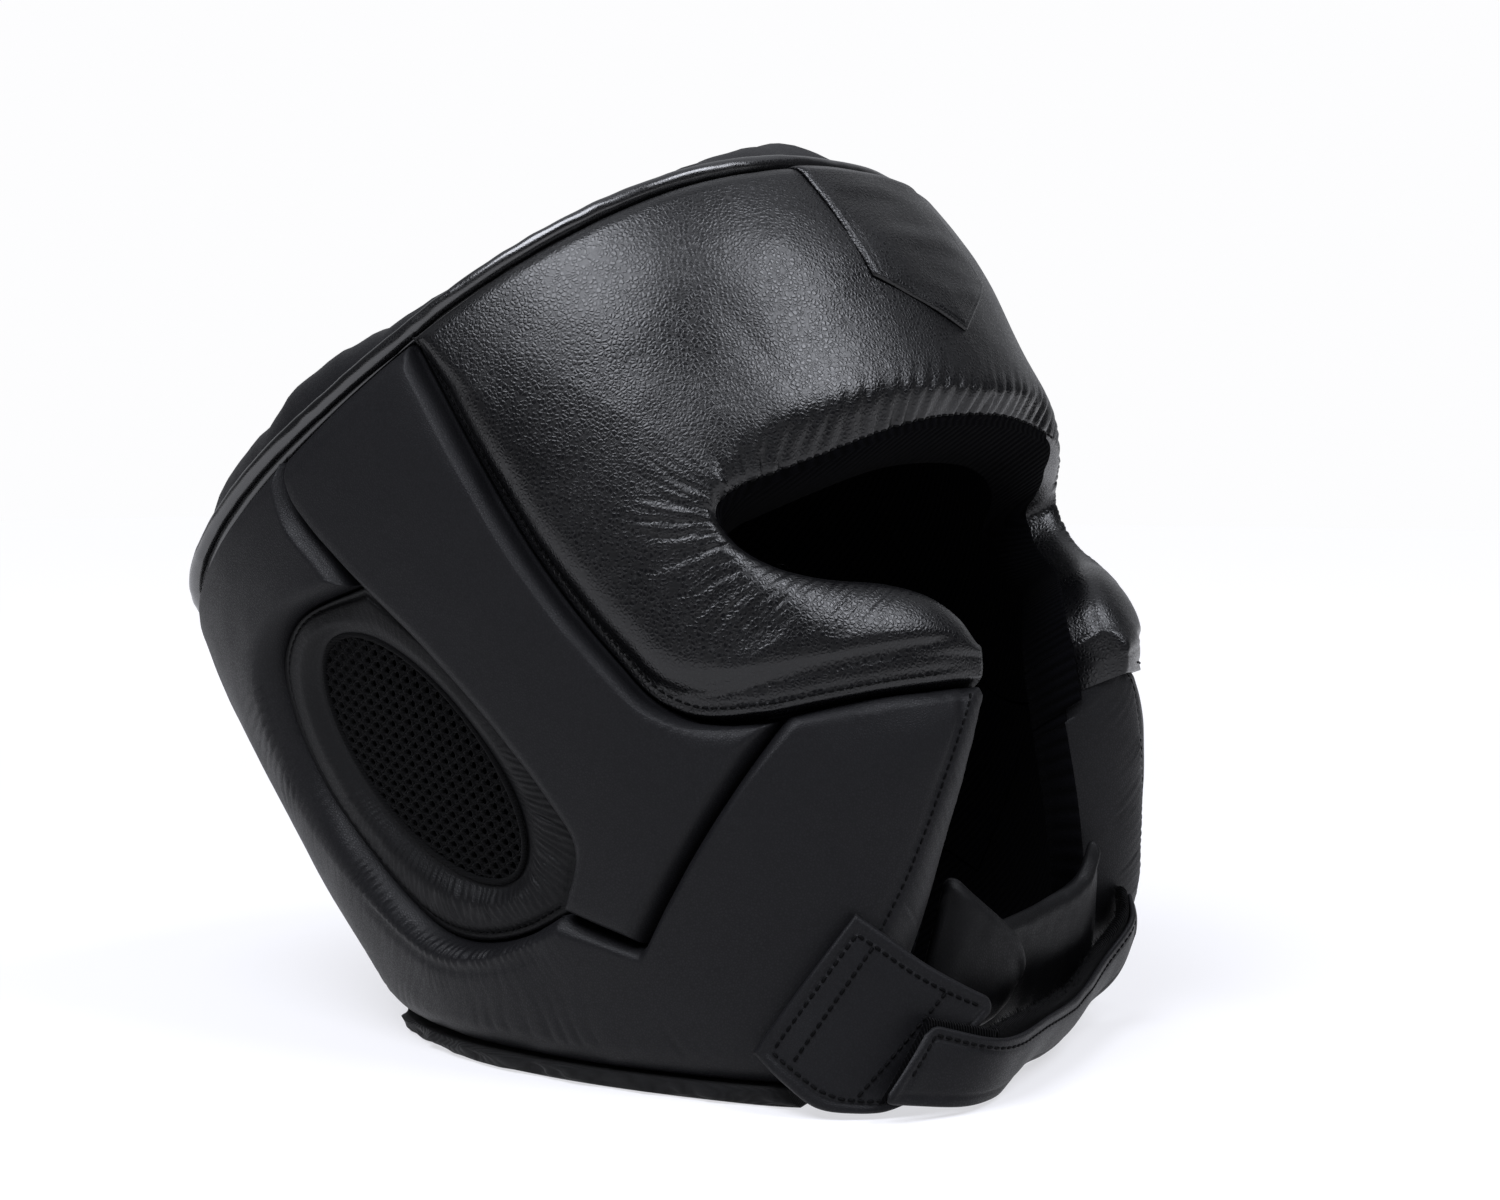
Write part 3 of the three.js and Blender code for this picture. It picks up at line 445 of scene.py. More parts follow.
def panel_relief(spot, share, width, row_at, flat, away, gathers, grooves):
    """Slow waves of the hide with its folds and grooves, as heights above the smooth panel."""
    x, y = spot[..., 0], spot[..., 1]
    relief = SLOW_WAVES * noise(x / 34 + 9, y / 30) + QUICK_WAVES * noise(x / 9, y / 8)
    for e, folds in gathers.items():
        along, seat = share * width[:, None], 5 + 0 * row_at
        if e in "ab":
            run = np.concatenate([[0], np.cumsum(np.linalg.norm(np.diff(flat[e], axis=0), axis=1))])
            along, seat = run[:, None] - run[-1] / 2 + 0 * share, row_at
        relief = relief + gathered(folds, along, away[e], seat)
    for g in grooves:
        seat = smooth(row_at, g["start"] - 0.6, g["start"]) * smooth(row_at, g["end"] + 0.6, g["end"])
        relief = relief - g["depth"] * seat * np.exp(-((away[g["edge"]] - g["at"]) / g["wide"]) ** 2)
    return relief


print("a group of folds is described by", len(FOLDS.split()), "numbers")

# %% [markdown]
# ### The panel's mesh
# The mesh has lines across the panel, from edge a to edge b, and they crowd together on the rolled edges.
# Along the panel they are spread evenly. A line that nearly meets a row of the table is left out,
# because two lines that almost touch give the shading a false glint.

# %% Panel mesh
def panel_lines(rows, count, focus):
    """Row numbers, both edges and the columns of a panel.

    Focus names two rows between which the lines are closer, and how many more lines there are."""
    last = len(rows) - 1
    curve = {e: kinked([(r[e + "Angle"], r[e + "Height"]) for r in rows],
                       [e in r.get("corner", "") for r in rows]) for e in "ab"}
    fine = np.linspace(0, last, last * 20 + 1)
    paces = [np.linalg.norm(np.diff(unrolled(curve[e](fine)), axis=0), axis=1) for e in "ab"]
    dense = 1 + focus[2] * ((fine[1:] > focus[0]) & (fine[1:] <= focus[1]))
    length = np.concatenate([[0], np.cumsum(dense * paces[0] + 0.5 * paces[1])])
    t = np.interp(np.linspace(0, length[-1], count), length, fine)
    clear = np.abs(t - np.round(t)) > 0.3 * np.gradient(t)
    t = np.unique(np.concatenate([t[clear], np.arange(last + 1.0)]))
    col = {key: np.interp(t, np.arange(last + 1), [r.get(key, base) for r in rows])[:, None]
           for key, base in PANEL_COLUMNS.items()}
    return t, {e: curve[e](t) for e in "ab"}, col


def panel_shares(width, col, middle):
    """Where the mesh's points lie on each line, as shares of the way from edge a to edge b."""
    reach = {"a": np.maximum(col["aStrip"] + col["aRoll"], 1.3 * col["aBevel"]),
             "b": col["bStrip"] + col["bRoll"]}
    scale = np.minimum(1, 0.9 * width[:, None] / (reach["a"] + reach["b"])) / width[:, None]
    near = {e: reach[e] * scale * EDGE_SHARES for e in "ab"}
    between = np.linspace(0, 1, middle + 2)[1:-1]
    span = 1 - near["b"][:, -1:] - near["a"][:, -1:]
    return np.concatenate([near["a"], near["a"][:, -1:] + span * between, 1 - near["b"][:, ::-1]], 1)


def outward(grid):
    """Unit directions that point out of a grid of points as worn."""
    normal = np.cross(np.gradient(grid, axis=0), np.gradient(grid, axis=1))
    normal /= np.maximum(np.linalg.norm(normal, axis=-1, keepdims=True), 1e-9)
    return -normal if np.sum(normal[..., :2] * grid[..., :2]) < 0 else normal


def padded_panel(rows, ends, count, middle, side=1, gathers=None, grooves=(), deep=PAD, high=0.0,
                 focus=(0, 0, 0)):
    """Outside points, inside points and measures of a panel whose rows run from edge a to edge b."""
    t, line, col = panel_lines(rows, count, focus)
    flat = {e: unrolled(line[e]) for e in "ab"}
    width = np.linalg.norm(flat["b"] - flat["a"], axis=1)
    share = panel_shares(width, col, middle)
    place = line["a"][:, None] + (line["b"] - line["a"])[:, None] * share[..., None]
    spot = unrolled(place)
    away = {e: distance_to(flat[e][::2], spot) for e in "ab"}
    for e, k in (("start", 0), ("finish", -1)):
        away[e] = distance_to(np.array([flat["a"][k], flat["b"][k]]), spot)
    drop = panel_drop(place, share, away, col, ends) - high
    step = col["bStep"] * share / PAD
    base = on_head(side * place[..., 0], place[..., 1] + step * drop, -drop)
    normal = outward(base)
    row_at = np.broadcast_to(t[:, None], share.shape)
    relief = panel_relief(spot, share, width, row_at, flat, away, gathers or {}, grooves)
    relief = relief * smooth(np.minimum.reduce(list(away.values())), 0, 1.2)
    inside = on_head(side * place[..., 0], place[..., 1] + step * deep, -deep)
    return {"out": base + normal * relief[..., None], "in": inside, "normal": normal, "share": share,
            "width": width, "t": t, "line": line, "col": col}


def panel_skin(panel):
    """The closed skin of a panel, in metres. Two more lines on each wall keep the edges crisp."""
    out, inner = panel["out"], panel["in"]
    walls = {k: [(out[:, k] + (inner[:, k] - out[:, k]) * part)[:, None] for part in (0.07, 0.3)]
             for k in (0, -1)}
    return loft(at_rest(np.concatenate([walls[0][0], out, *walls[-1], inner[:, ::-1], walls[0][1]], 1)))


def line_on(panel, edge, distance, start, end):
    """Points and outward directions along a panel at a distance from edge a or b, between two rows."""
    keep = (panel["t"] >= start) & (panel["t"] <= end)
    found = []
    for i in np.flatnonzero(keep):
        from_edge = (panel["share"][i] if edge == "a" else 1 - panel["share"][i]) * panel["width"][i]
        order = np.argsort(from_edge)
        both = np.concatenate([panel["out"][i], panel["normal"][i]], 1)[order]
        found.append([np.interp(distance, from_edge[order], both[:, k]) for k in range(6)])
    found = np.array(found)
    return found[:, :3], found[:, 3:]


print("a panel's line has", 2 * len(EDGE_SHARES), "points on its two edges")

# %% [markdown]
# ## The pattern: where each panel lies
# These tables are the cutting pattern. They repeat the solid model's rows, and add how each edge is finished.
# The seam down the temple and under the cheek is shared by three panels, so it is written once.

# %% Cheek seam and face rows
CHEEK_SEAM = np.array([[69, RIM_HEIGHT], [69, 45], [69, 20], [68.7, -5], [67.5, -26], [65.9, -42],
                       [64.3, -54], [61.3, -62.5], [57.5, -68], [53.5, -71.6], [49.6, -74.4], [40, -79],
                       [30, -82.8], [19.8, -85.5]])
SEAM_GAP = 0.35


def beside_seam(distance):
    """The cheek seam moved sideways. Positive is towards the face."""
    flat = unrolled(CHEEK_SEAM)
    along = np.concatenate([flat[1:2] - flat[:1], flat[2:] - flat[:-2], flat[-1:] - flat[-2:-1]])
    along /= np.linalg.norm(along, axis=1, keepdims=True)
    moved = flat + np.stack([along[:, 1], -along[:, 0]], 1) * distance
    moved[0, 1] = RIM_HEIGHT
    return np.stack([np.degrees(moved[:, 0] / MEAN_RADIUS), moved[:, 1]], 1)


BROW_ROWS = table(
    "aAngle aHeight aRoll aDrop aBevel aFall dent bAngle",
    (0, -20.3, 1.3, 7.9, 3.5, 7, 0.5, 0), (6, -20.4, 1.3, 7.9, 4, 7, 0.8, 7),
    (12, -20.6, 1.3, 7.9, 5.5, 7, 1.4, 14), (18, -21.1, 1.3, 7.9, 7.5, 7, 2.2, 21.5),
    (24, -21.8, 1.3, 8, 9, 7, 2.8, 29), (29.5, -22.2, 1.3, 8, 10, 7, 2.8, 36.5),
    (34, -22.3, 1.5, 7.8, 10, 6.5, 2, 44), (37.5, -22.2, 2, 7.5, 9, 5.5, 1, 51),
    (40.5, -22.1, 2.6, 7.4, 7, 4, 0.4, 57.5), (42.5, -22.6, 3.2, 7.4, 5, 2.5, 0, 63.5))
CHEEK_ROWS = table(
    "aAngle aHeight aRoll aDrop bStrip bRoll bDrop bulge",
    (43.6, -23.2, 4, 7.5, 0, 6, 6, 0), (44.8, -24, 4, 7, 2.4, 8, 7, 0),
    (45.6, -25.6, 4, 7, 2.4, 8, 7, 0), (45.8, -28.5, 4.5, 7, 2.6, 8, 7, 0),
    (45.2, -33.5, 5, 8, 3, 8, 7, 0), (43.6, -38.5, 7, 9, 3.5, 8, 6.5, 0.3),
    (41, -43.5, 10, 10, 4, 8, 5.5, 0.6), (37.5, -47.8, 13, 11, 5, 8, 4.5, 1),
    (34, -50.8, 16, 12, 6, 8, 3.8, 1.5), (30.5, -53.3, 19, 12, 6.5, 8, 2.4, 1.6),
    (27, -56.2, 21, 12, 6.5, 8, 1.8, 1.4), (22.6, -61.2, 19, 11, 6.5, 8, 1.5, 1.8),
    (19, -68.5, 14, 9.5, 5.5, 6, 1.5, 1.8), (17.6, -76, 8, 8, 4, 4, 1.5, 1.4))
RIM_DROP, RIM_ROLL = 6, 6
seam_face = beside_seam(SEAM_GAP)
face_half = [dict(r, bHeight=RIM_HEIGHT, bRoll=RIM_ROLL, bDrop=RIM_DROP) for r in BROW_ROWS]
face_half += [dict(r, bAngle=a, bHeight=h) for r, (a, h) in zip(CHEEK_ROWS, seam_face)]
face_half[len(BROW_ROWS)]["corner"] = "b"
for row in face_half[-6:]:
    row["flare"] = 1.8
print("half of the face panel has", len(face_half), "rows")

# %% [markdown]
# The left half mirrors the right, but no two stuffed halves are alike.
# On the left the brow's turn is shallower, the cheek is fuller, and its outer edge laps down over the jaw.

# %% The left half
CHEEK_OVERHANG = 4
left_half = [dict(r, aAngle=-r["aAngle"], bAngle=-r["bAngle"]) for r in face_half[1:]]
for i, row in enumerate(left_half):
    brow, cheek = smooth(i, 1, 4) * smooth(i, 10, 7), smooth(i, 13, 16)
    row["aFall"] = row.get("aFall", 0) * (1 - 0.4 * brow)
    row["aDrop"] -= 3 * brow + 2 * cheek
    row["bulge"] = row.get("bulge", 0) + 2.5 * cheek
    row["flare"] = row.get("flare", 0) + 3 * cheek
    row["aPower"] = 2 + 0.5 * cheek
    row["bStep"] = CHEEK_OVERHANG * smooth(i, 17, 20)
    row["bHeight"] -= row["bStep"]
face_rows = left_half[::-1] + face_half
print("the face panel has", len(face_rows), "rows")

# %% [markdown]
# ## The face panel
# One padded piece covers the brow, both eye corners and both cheeks. It is the glossiest part.
# The hide turns in sharply under the brow and is pleated there.
# At the eye corners fine folds fan out from the turn. They are given once and used on both sides.

# %% Face panel
FACE_MIDDLE = len(face_half) - 1
EYE_FOLDS = table(
    FOLDS,
    (-0.3, 10.5, 5.2, 0.8, 2, 0.6, 1.2, 6, 3), (-0.3, 9, 2.7, 0.16, 3, 0.6, 1.2, 7, 3),
    (11, 18, 3.1, 0.28, 3, 0.1, 2.5, 8, 6), (9, 18.5, 1.7, 0.2, 6, 0.05, 3, 14, 7),
    (12, 17, 4.7, 0.2, 8, 0.1, 5, 18, 9), (10, 18, 1.15, 0.13, 5, 0.1, 3, 17, 9),
    (16.5, 20.5, 2.6, 0.2, 4, 0.0, 3, 9, 6))
EYE_GATHERS = [dict(f, start=FACE_MIDDLE + f["start"], end=FACE_MIDDLE + f["end"]) for f in EYE_FOLDS]
EYE_GATHERS += [dict(f, start=FACE_MIDDLE - f["end"], end=FACE_MIDDLE - f["start"]) for f in EYE_FOLDS]
FACE_STITCH_AT = 2.2
FACE_STITCH_GROOVE = {"depth": 0.25, "wide": 0.7, "edge": "b", "at": FACE_STITCH_AT}
CHEEK_VALLEY = {"depth": 0.7, "wide": 1.3, "edge": "b", "at": 7.6}
FACE_GROOVES = [dict(FACE_STITCH_GROOVE, start=FACE_MIDDLE + 10.2, end=FACE_MIDDLE + 22),
                dict(FACE_STITCH_GROOVE, start=1, end=FACE_MIDDLE - 10.2),
                dict(CHEEK_VALLEY, start=FACE_MIDDLE + 17, end=FACE_MIDDLE + 21.6),
                dict(CHEEK_VALLEY, start=1.4, end=FACE_MIDDLE - 17)]
FACE_ENDS = {"start": {"drop": 2.0, "roll": 3.0}, "finish": {"drop": 5.0, "roll": 4.0}}
face = padded_panel(face_rows, FACE_ENDS, count=590, middle=36, gathers={"a": EYE_GATHERS},
                    grooves=FACE_GROOVES)
face_piece = make_piece("face_panel_leather", [panel_skin(face)], grained_cowhide,
                        ["face_panel"])

# %% [markdown]
# ## The side panels
# A flat padded strip runs down from the rim past the front of the ear to a point below it, on each side.
# Its front edge is a narrow bevel that catches the light: the hide is pulled tight over a square foam edge.

# %% Side panels
SIDE_ROWS = table(
    "bAngle bHeight bRoll bPower corner",
    (98, RIM_HEIGHT, 3.5, 1.6, ""), (99.4, 45, 3.5, 1.6, ""), (95.8, 20, 3.5, 1.6, ""), (91.4, -5, 5, 2, ""),
    (88.4, -26, 5, 2, ""), (86.8, -44, 5, 2, ""), (86, -60, 5, 2, ""), (86.8, -74, 5, 2, ""),
    (94.5, -83.5, 3.5, 1.8, "b"), (90.3, -93, 3, 1.6, ""), (86, -102, 3, 1.6, ""))
seam_side = beside_seam(-SEAM_GAP)
side_rows = [dict(r, aAngle=a, aHeight=h, aRoll=3.8, aStrip=1.0, aPower=1.5)
             for r, (a, h) in zip(SIDE_ROWS, seam_side)]
SIDE_ENDS = {"start": {"drop": RIM_DROP, "roll": 8.0, "power": 1.6},
             "finish": {"drop": 7, "roll": 4.0, "power": 1.6}}
SIDE_GATHERS = {"a": table(FOLDS, (6.5, 10, 3.4, 0.25, 2, 0.3, 2.5, 4, 2.5)),
                "start": table(FOLDS, (0, 10, 4.5, 0.25, 2, 0.2, 3, 4, 4))}
SIDES = {"right": 1, "left": -1}
sides = {}
for name, side in SIDES.items():
    sides[name] = padded_panel(side_rows, SIDE_ENDS, count=150, middle=18, side=side, gathers=SIDE_GATHERS)
    strip = make_piece("side_panel_leather_" + name, [panel_skin(sides[name])], fine_cowhide,
                       ["side_panel_" + name])

# %% [markdown]
# ## The jaw panels
# The largest panel on each side starts at the chin, passes under the ear and goes up behind it.
# The two panels meet in the seam at the back.
# Under the ear and behind it the hide is eased round a tight curve, so it shows fans of fine creases.
# The lower edge rests on a tape, and its height there follows the floor.

# %% Jaw panels
FLOOR, PAD_FLOOR_RISE, EAR_DROP = None, 4.8, 7
JAW_STITCH_AT = 8.6
JAW_ROWS = table(
    "aAngle aHeight aRoll aStrip aPower bAngle bHeight bRoll bDrop corner",
    (19.8, -86.2, 4.5, 0, 1.5, 20.5, -92, 8, 13, "a"), (30, -83.5, 4.5, 0, 1.5, 25, -102, 8, 13, "a"),
    (40, -79.7, 4.5, 0, 1.5, 31.5, -113, 8, 13, "a"), (49.6, -75.5, 4, 0, 1.6, 37.5, -122, 8, 13, "a"),
    (58.7, -82.2, 3, 0, 1.6, 44.5, -130.5, 8, 13, "a"), (67.8, -89.2, 3, 0, 1.6, 53.5, -138.5, 8, 13, "a"),
    (76.9, -96.1, 3, 0, 1.6, 64.5, -144, 9, 11, "a"), (86, -103, 3, 0, 1.6, 77, FLOOR, 8, 6, "ab"),
    (91, -93.3, 3, 0, 1.5, 90, FLOOR, 8, 6, ""), (95.3, -84.2, 4.5, 0, 1.8, 99, FLOOR, 8, 6, "a"),
    (103, -82.4, 3, 0, 2, 108, FLOOR, 8, 6, ""), (110, -78.5, 3, 0, 2, 117, FLOOR, 8, 6, ""),
    (116, -72.3, 3, 0, 2, 127, FLOOR, 8, 6, ""), (120.3, -63.5, 3.2, 0, 2, 138, FLOOR, 8, 6, ""),
    (123.2, -49.5, 4, 0, 2, 152, FLOOR, 8, 6, ""), (125, -33.5, 6, 0, 2, 166, FLOOR, 8, 6, ""),
    (126, -18.5, 8, 0, 2, 179.8, FLOOR, 8, 6, "b"), (125.2, -5, 8, 0, 2, 179.8, -26, 4, 3, ""),
    (123, 8, 8, 0, 2, 179.8, 16, 4, 3, ""), (118.5, 19.5, 7, 0, 2, 179.8, RIM_HEIGHT, 5, 6, "b"),
    (109.5, 23.4, 5, 0, 2, 140, RIM_HEIGHT, 6, 6, ""), (97, 17.5, 3.2, 0, 1.6, 118, RIM_HEIGHT, 6, 6, "a"),
    (97.8, 28, 3.2, 0, 1.5, 110, RIM_HEIGHT, 6, 6, ""), (99.9, 43, 3.2, 0, 1.5, 104.5, RIM_HEIGHT, 6, 6, ""),
    (98.4, RIM_HEIGHT - 0.4, 3.2, 0, 1.5, 99.4, RIM_HEIGHT, 6, 6, ""))
EAR_ROWS = range(10, 21)
for i, row in enumerate(JAW_ROWS):
    row["aDrop"] = EAR_DROP if i in EAR_ROWS else 5 - 2 * float(smooth(row["aAngle"], 55, 42))
    row["bulge"] = 2.5 * float(smooth(row["aAngle"], 60, 45))
    if row["bHeight"] is FLOOR:
        row["bHeight"] = float(floor_height(row["bAngle"], PAD_FLOOR_RISE))
        row["bStep"] = float(floor_height(row["bAngle"], PAD_FLOOR_RISE, -PAD)) - row["bHeight"]
JAW_ENDS = {"start": {"drop": 8.0, "roll": 4.5}, "finish": {"drop": 0.0, "roll": 1.0}}
JAW_GATHERS = {
    "a": table(FOLDS, (8.5, 13.5, 3.4, 0.09, 3, 0.15, 5, 7, 5), (9.5, 13.5, 1.8, 0.08, 5, 0.2, 5, 10, 5),
               (13, 20, 4.2, 0.08, 4, 0.1, 6, 9, 6), (16.8, 19.2, 3.0, 0.45, 4, 0.12, 4, 14, 6),
               (9.8, 15.2, 2.5, 0.5, 1.3, 0.1, 0.5, 3, 1), (15, 18, 2.6, 0.14, 2, 0.1, 0.8, 4, 2),
               (0.5, 2.8, 3.0, 0.2, 2, 0.3, 2.5, 4, 2)),
    "b": table(FOLDS, (0, 5.5, 3.2, 0.35, 2, 0.15, 2, 7, 1.5), (7.5, 16, 7, 0.2, 2, 0.2, 7, 9, 9))}
JAW_GROOVES = [{"depth": 0.5, "wide": 0.7, "edge": "b", "at": at, "start": 0.4, "end": 6.5}
               for at in (JAW_STITCH_AT, JAW_STITCH_AT + 1.2)]
JAW_GROOVES.append({"depth": 0.6, "wide": 1.4, "edge": "a", "at": 5.4, "start": 9.9, "end": 14})
jaws = {}
for name, side in SIDES.items():
    jaws[name] = padded_panel(JAW_ROWS, JAW_ENDS, count=500, middle=26, side=side, gathers=JAW_GATHERS,
                              grooves=JAW_GROOVES, focus=(9, 19, 3))
    jaw = make_piece("jaw_panel_leather_" + name, [panel_skin(jaws[name])], fine_cowhide,
                     ["jaw_panel_" + name])

# %% [markdown]
# ## The ear windows
# Round each ear the hide is turned down into a sunken roll that holds a window of mesh, to hear through.
# The upper part of the roll lies flat. Lower down it is gathered, because there the turn is tightest.

# %% Ear rolls
EAR = {"angle": 105.3, "height": -27, "half_angle": 12, "half_height": 40, "slant": 0.09}


def ear_oval(turn, growth):
    """Places on the ear window's outline, grown by some millimetres."""
    rise = (EAR["half_height"] + growth) * np.sin(turn)
    swing = (EAR["half_angle"] + np.degrees(growth / MEAN_RADIUS)) * np.cos(turn)
    return np.stack([EAR["angle"] + EAR["slant"] * rise + swing, EAR["height"] + rise], -1)


def edge_of(rows, letter, start, end, count):
    """Places along an edge between two rows."""
    points = [(r[letter + "Angle"], r[letter + "Height"]) for r in rows]
    return kinked(points, [letter in r.get("corner", "") for r in rows])(np.linspace(start, end, count))


def even(points, count):
    """A closed line of places, spaced evenly."""
    flat = unrolled(np.concatenate([points, points[:1]]))
    length = np.concatenate([[0], np.cumsum(np.linalg.norm(np.diff(flat, axis=0), axis=1))])
    want = np.linspace(0, length[-1], count, endpoint=False)
    return np.stack([np.interp(want, length, np.append(points[:, k], points[0, k])) for k in (0, 1)], 1), want


ear_sides = [edge_of(JAW_ROWS, "a", 9, 21, 97), edge_of(side_rows, "b", 3, 7, 33)]
ear_edge, ear_along = even(np.concatenate(ear_sides), 480)
EAR_CENTRE = np.array([EAR["angle"], EAR["height"]])
ear_out = unrolled(ear_edge) - unrolled(EAR_CENTRE)
ear_upright = ear_out[:, 0] / MEAN_RADIUS - np.radians(EAR["slant"] * ear_out[:, 1])
ear_turn = np.arctan2(ear_out[:, 1] / EAR["half_height"], ear_upright / math.radians(EAR["half_angle"]))
ear_edge = EAR_CENTRE + (ear_edge - EAR_CENTRE) * (1 - 0.9 / np.linalg.norm(ear_out, axis=1))[:, None]
ear_rolls = {}


def ear_ring(side, inner_growth, profile, base):
    """A ring between the panels' edges and the window. Profile gives its height from outside to inside."""
    share = np.linspace(0, 1, 18)
    window = ear_oval(ear_turn, inner_growth)
    place = ear_edge[:, None] + (window - ear_edge)[:, None] * share[:, None]
    lift = profile(share[None], ear_turn[:, None], ear_along[:, None])
    top = on_head(side * place[..., 0], place[..., 1], lift)
    low = on_head(side * place[..., 0], place[..., 1], base)
    return top, low


def roll_profile(share, turn, along):
    """Height of the roll: flat above and behind, sunk in front, puffed and gathered below."""
    low = smooth(-np.sin(turn) + 0.3 * np.cos(turn), -0.3, 0.5)
    front = smooth(-np.cos(turn), -0.1, 0.7)
    level = -5.9 - 0.9 * low - 2.6 * front
    puff = (0.3 + 0.9 * low * (1 - 0.6 * front)) * np.sin(math.pi * np.clip(share * 1.1, 0, 1)) ** 0.8
    fall = (3.0 - 2.2 * front) * smooth(share, 0.6, 1.0)
    groove = 0.8 * np.exp(-((share - 0.1) / 0.06) ** 2)
    phase = along / 2.7 + 0.9 * noise(along / 6, share * 1.5)
    fold = (0.04 + 0.2 * low) * (1 - 2 * np.abs(2 * (phase % 1) - 1) ** 1.2) * np.sin(math.pi * share)
    fine = 0.18 * low * noise(along / 1.0, share * 5) * np.sin(math.pi * share)
    return level + puff - fall - groove + fold + fine


for name, side in SIDES.items():
    top, low = ear_ring(side, 0.7, roll_profile, -PAD)
    ear_rolls[name] = top
    rings = at_rest(np.concatenate([top, low[:, ::-1]], 1))
    ring = make_piece("ear_roll_" + name, [loft(rings, True)], soft_cowhide,
                      ["ear_ring_" + name])

# %% [markdown]
# ### The mesh in the window
# The window is a knitted spacer mesh: rows of small holes, each row shifted by half a hole.
# The holes are real here, because the eye sees through them into the dark inside.
# Each hole has its own little frame of eight quads, and frames that cross the outline are pressed on to it.

# %% Ear mesh
HOLE_PITCH, HOLE_SIZE = (3.6, 2.9), (1.2, 1.0)
MESH_TOP, MESH_THICK = -9.6, 1.3
FRAME = np.array([(-1, -1), (0, -1), (1, -1), (1, 0), (1, 1), (0, 1), (-1, 1), (-1, 0)]) / 2
RING = np.stack([np.cos(np.radians(np.arange(225, 585, 45))), np.sin(np.radians(np.arange(225, 585, 45)))], 1)


def mesh_cells():
    """Frame and hole corners of every cell that meets the window, in flat millimetres from its middle."""
    cells = []
    for j in range(-18, 19):
        for i in range(-12, 13):
            middle = np.array([(i + 0.5 * (j % 2)) * HOLE_PITCH[0], j * HOLE_PITCH[1]])
            middle[0] += math.radians(EAR["slant"]) * MEAN_RADIUS * middle[1]
            shear = np.array([math.radians(EAR["slant"]) * MEAN_RADIUS, 0])
            frame_at = middle + FRAME * HOLE_PITCH + FRAME[:, 1:] * HOLE_PITCH[1] * shear
            cells.append((frame_at, middle + RING * HOLE_SIZE))
    return cells


def into_window(flat):
    """Presses flat places outside the window on to its outline. Also says which were inside."""
    upright = flat[:, 0] / MEAN_RADIUS - np.radians(EAR["slant"] * flat[:, 1])
    reach = np.hypot(upright / math.radians(EAR["half_angle"]), flat[:, 1] / EAR["half_height"])
    pressed = flat / np.maximum(reach, 1)[:, None]
    return pressed, reach < 1


def ear_mesh(side):
    """The perforated sheet as one closed skin for each hole's frame."""
    skins = []
    for frame_at, hole_at in mesh_cells():
        frame_at, inside = into_window(frame_at)
        if inside.sum() < 3:
            continue
        hole_at, _ = into_window(hole_at)
        levels = [(frame_at, -0.25), (0.45 * frame_at + 0.55 * hole_at, 0.1), (hole_at, -0.3),
                  (hole_at, -0.9), (frame_at, -MESH_THICK)]
        rings = []
        for flat, up in levels:
            angle = EAR["angle"] + np.degrees(flat[:, 0] / MEAN_RADIUS)
            rings.append(on_head(side * angle, EAR["height"] + flat[:, 1], MESH_TOP + up))
        skins.append(loft(at_rest(np.array(rings)), True))
    return skins


def tube(line, radius, sides=10):
    """A closed cord along a closed line in metres."""
    ahead = np.roll(line, -1, 0) - np.roll(line, 1, 0)
    ahead /= np.linalg.norm(ahead, axis=1, keepdims=True)
    out = np.cross(ahead, np.array([0.0, 0.0, 1.0]))
    out /= np.linalg.norm(out, axis=1, keepdims=True)
    up = np.cross(out, ahead)
    turn = np.linspace(0, math.tau, sides, endpoint=False)
    circle = np.cos(turn)[None, :, None] * out[:, None] + np.sin(turn)[None, :, None] * up[:, None]
    return loft(line[:, None] + radius * circle, True)


for name, side in SIDES.items():
    welt_at = ear_oval(np.linspace(0, math.tau, 200, endpoint=False), 0.0)
    welt = tube(at_rest(on_head(side * welt_at[:, 0], welt_at[:, 1], MESH_TOP - 0.1)), 0.8 * MM)
    window = make_piece("ear_mesh_knit_" + name, ear_mesh(side) + [welt], spacer_mesh,
                        ["ear_mesh_" + name])

# %% [markdown]
# ## The lining
# Inside, a ribbed knit is sewn to the back of the padding. It follows the same pattern, one thin sheet each.
# At the openings a narrow strip of it laps over the hide's edge and covers the side of the foam.

# %% Lining
LINING_OUT, LINING_IN = PAD + 0.2, PAD + 3.5
flat_end = {"drop": 0.0, "roll": 1.0}
FLAT_ENDS = {"start": flat_end, "finish": flat_end}


def lining_sheet(rows, count, middle, side=1):
    """A thin cloth sheet behind a panel."""
    plain = [dict(r, aDrop=1.2, bDrop=1.2, aRoll=3, bRoll=3, aStrip=0, bStrip=0, aFall=0, bulge=0, dent=0,
                  flare=0) for r in rows]
    sheet = padded_panel(plain, FLAT_ENDS, count, middle, side, deep=LINING_IN, high=-LINING_OUT)
    return panel_skin(sheet)


def flat_profile(share, turn, along):
    """A level ring at the lining's outside."""
    return -LINING_OUT + 0 * share + 0 * turn


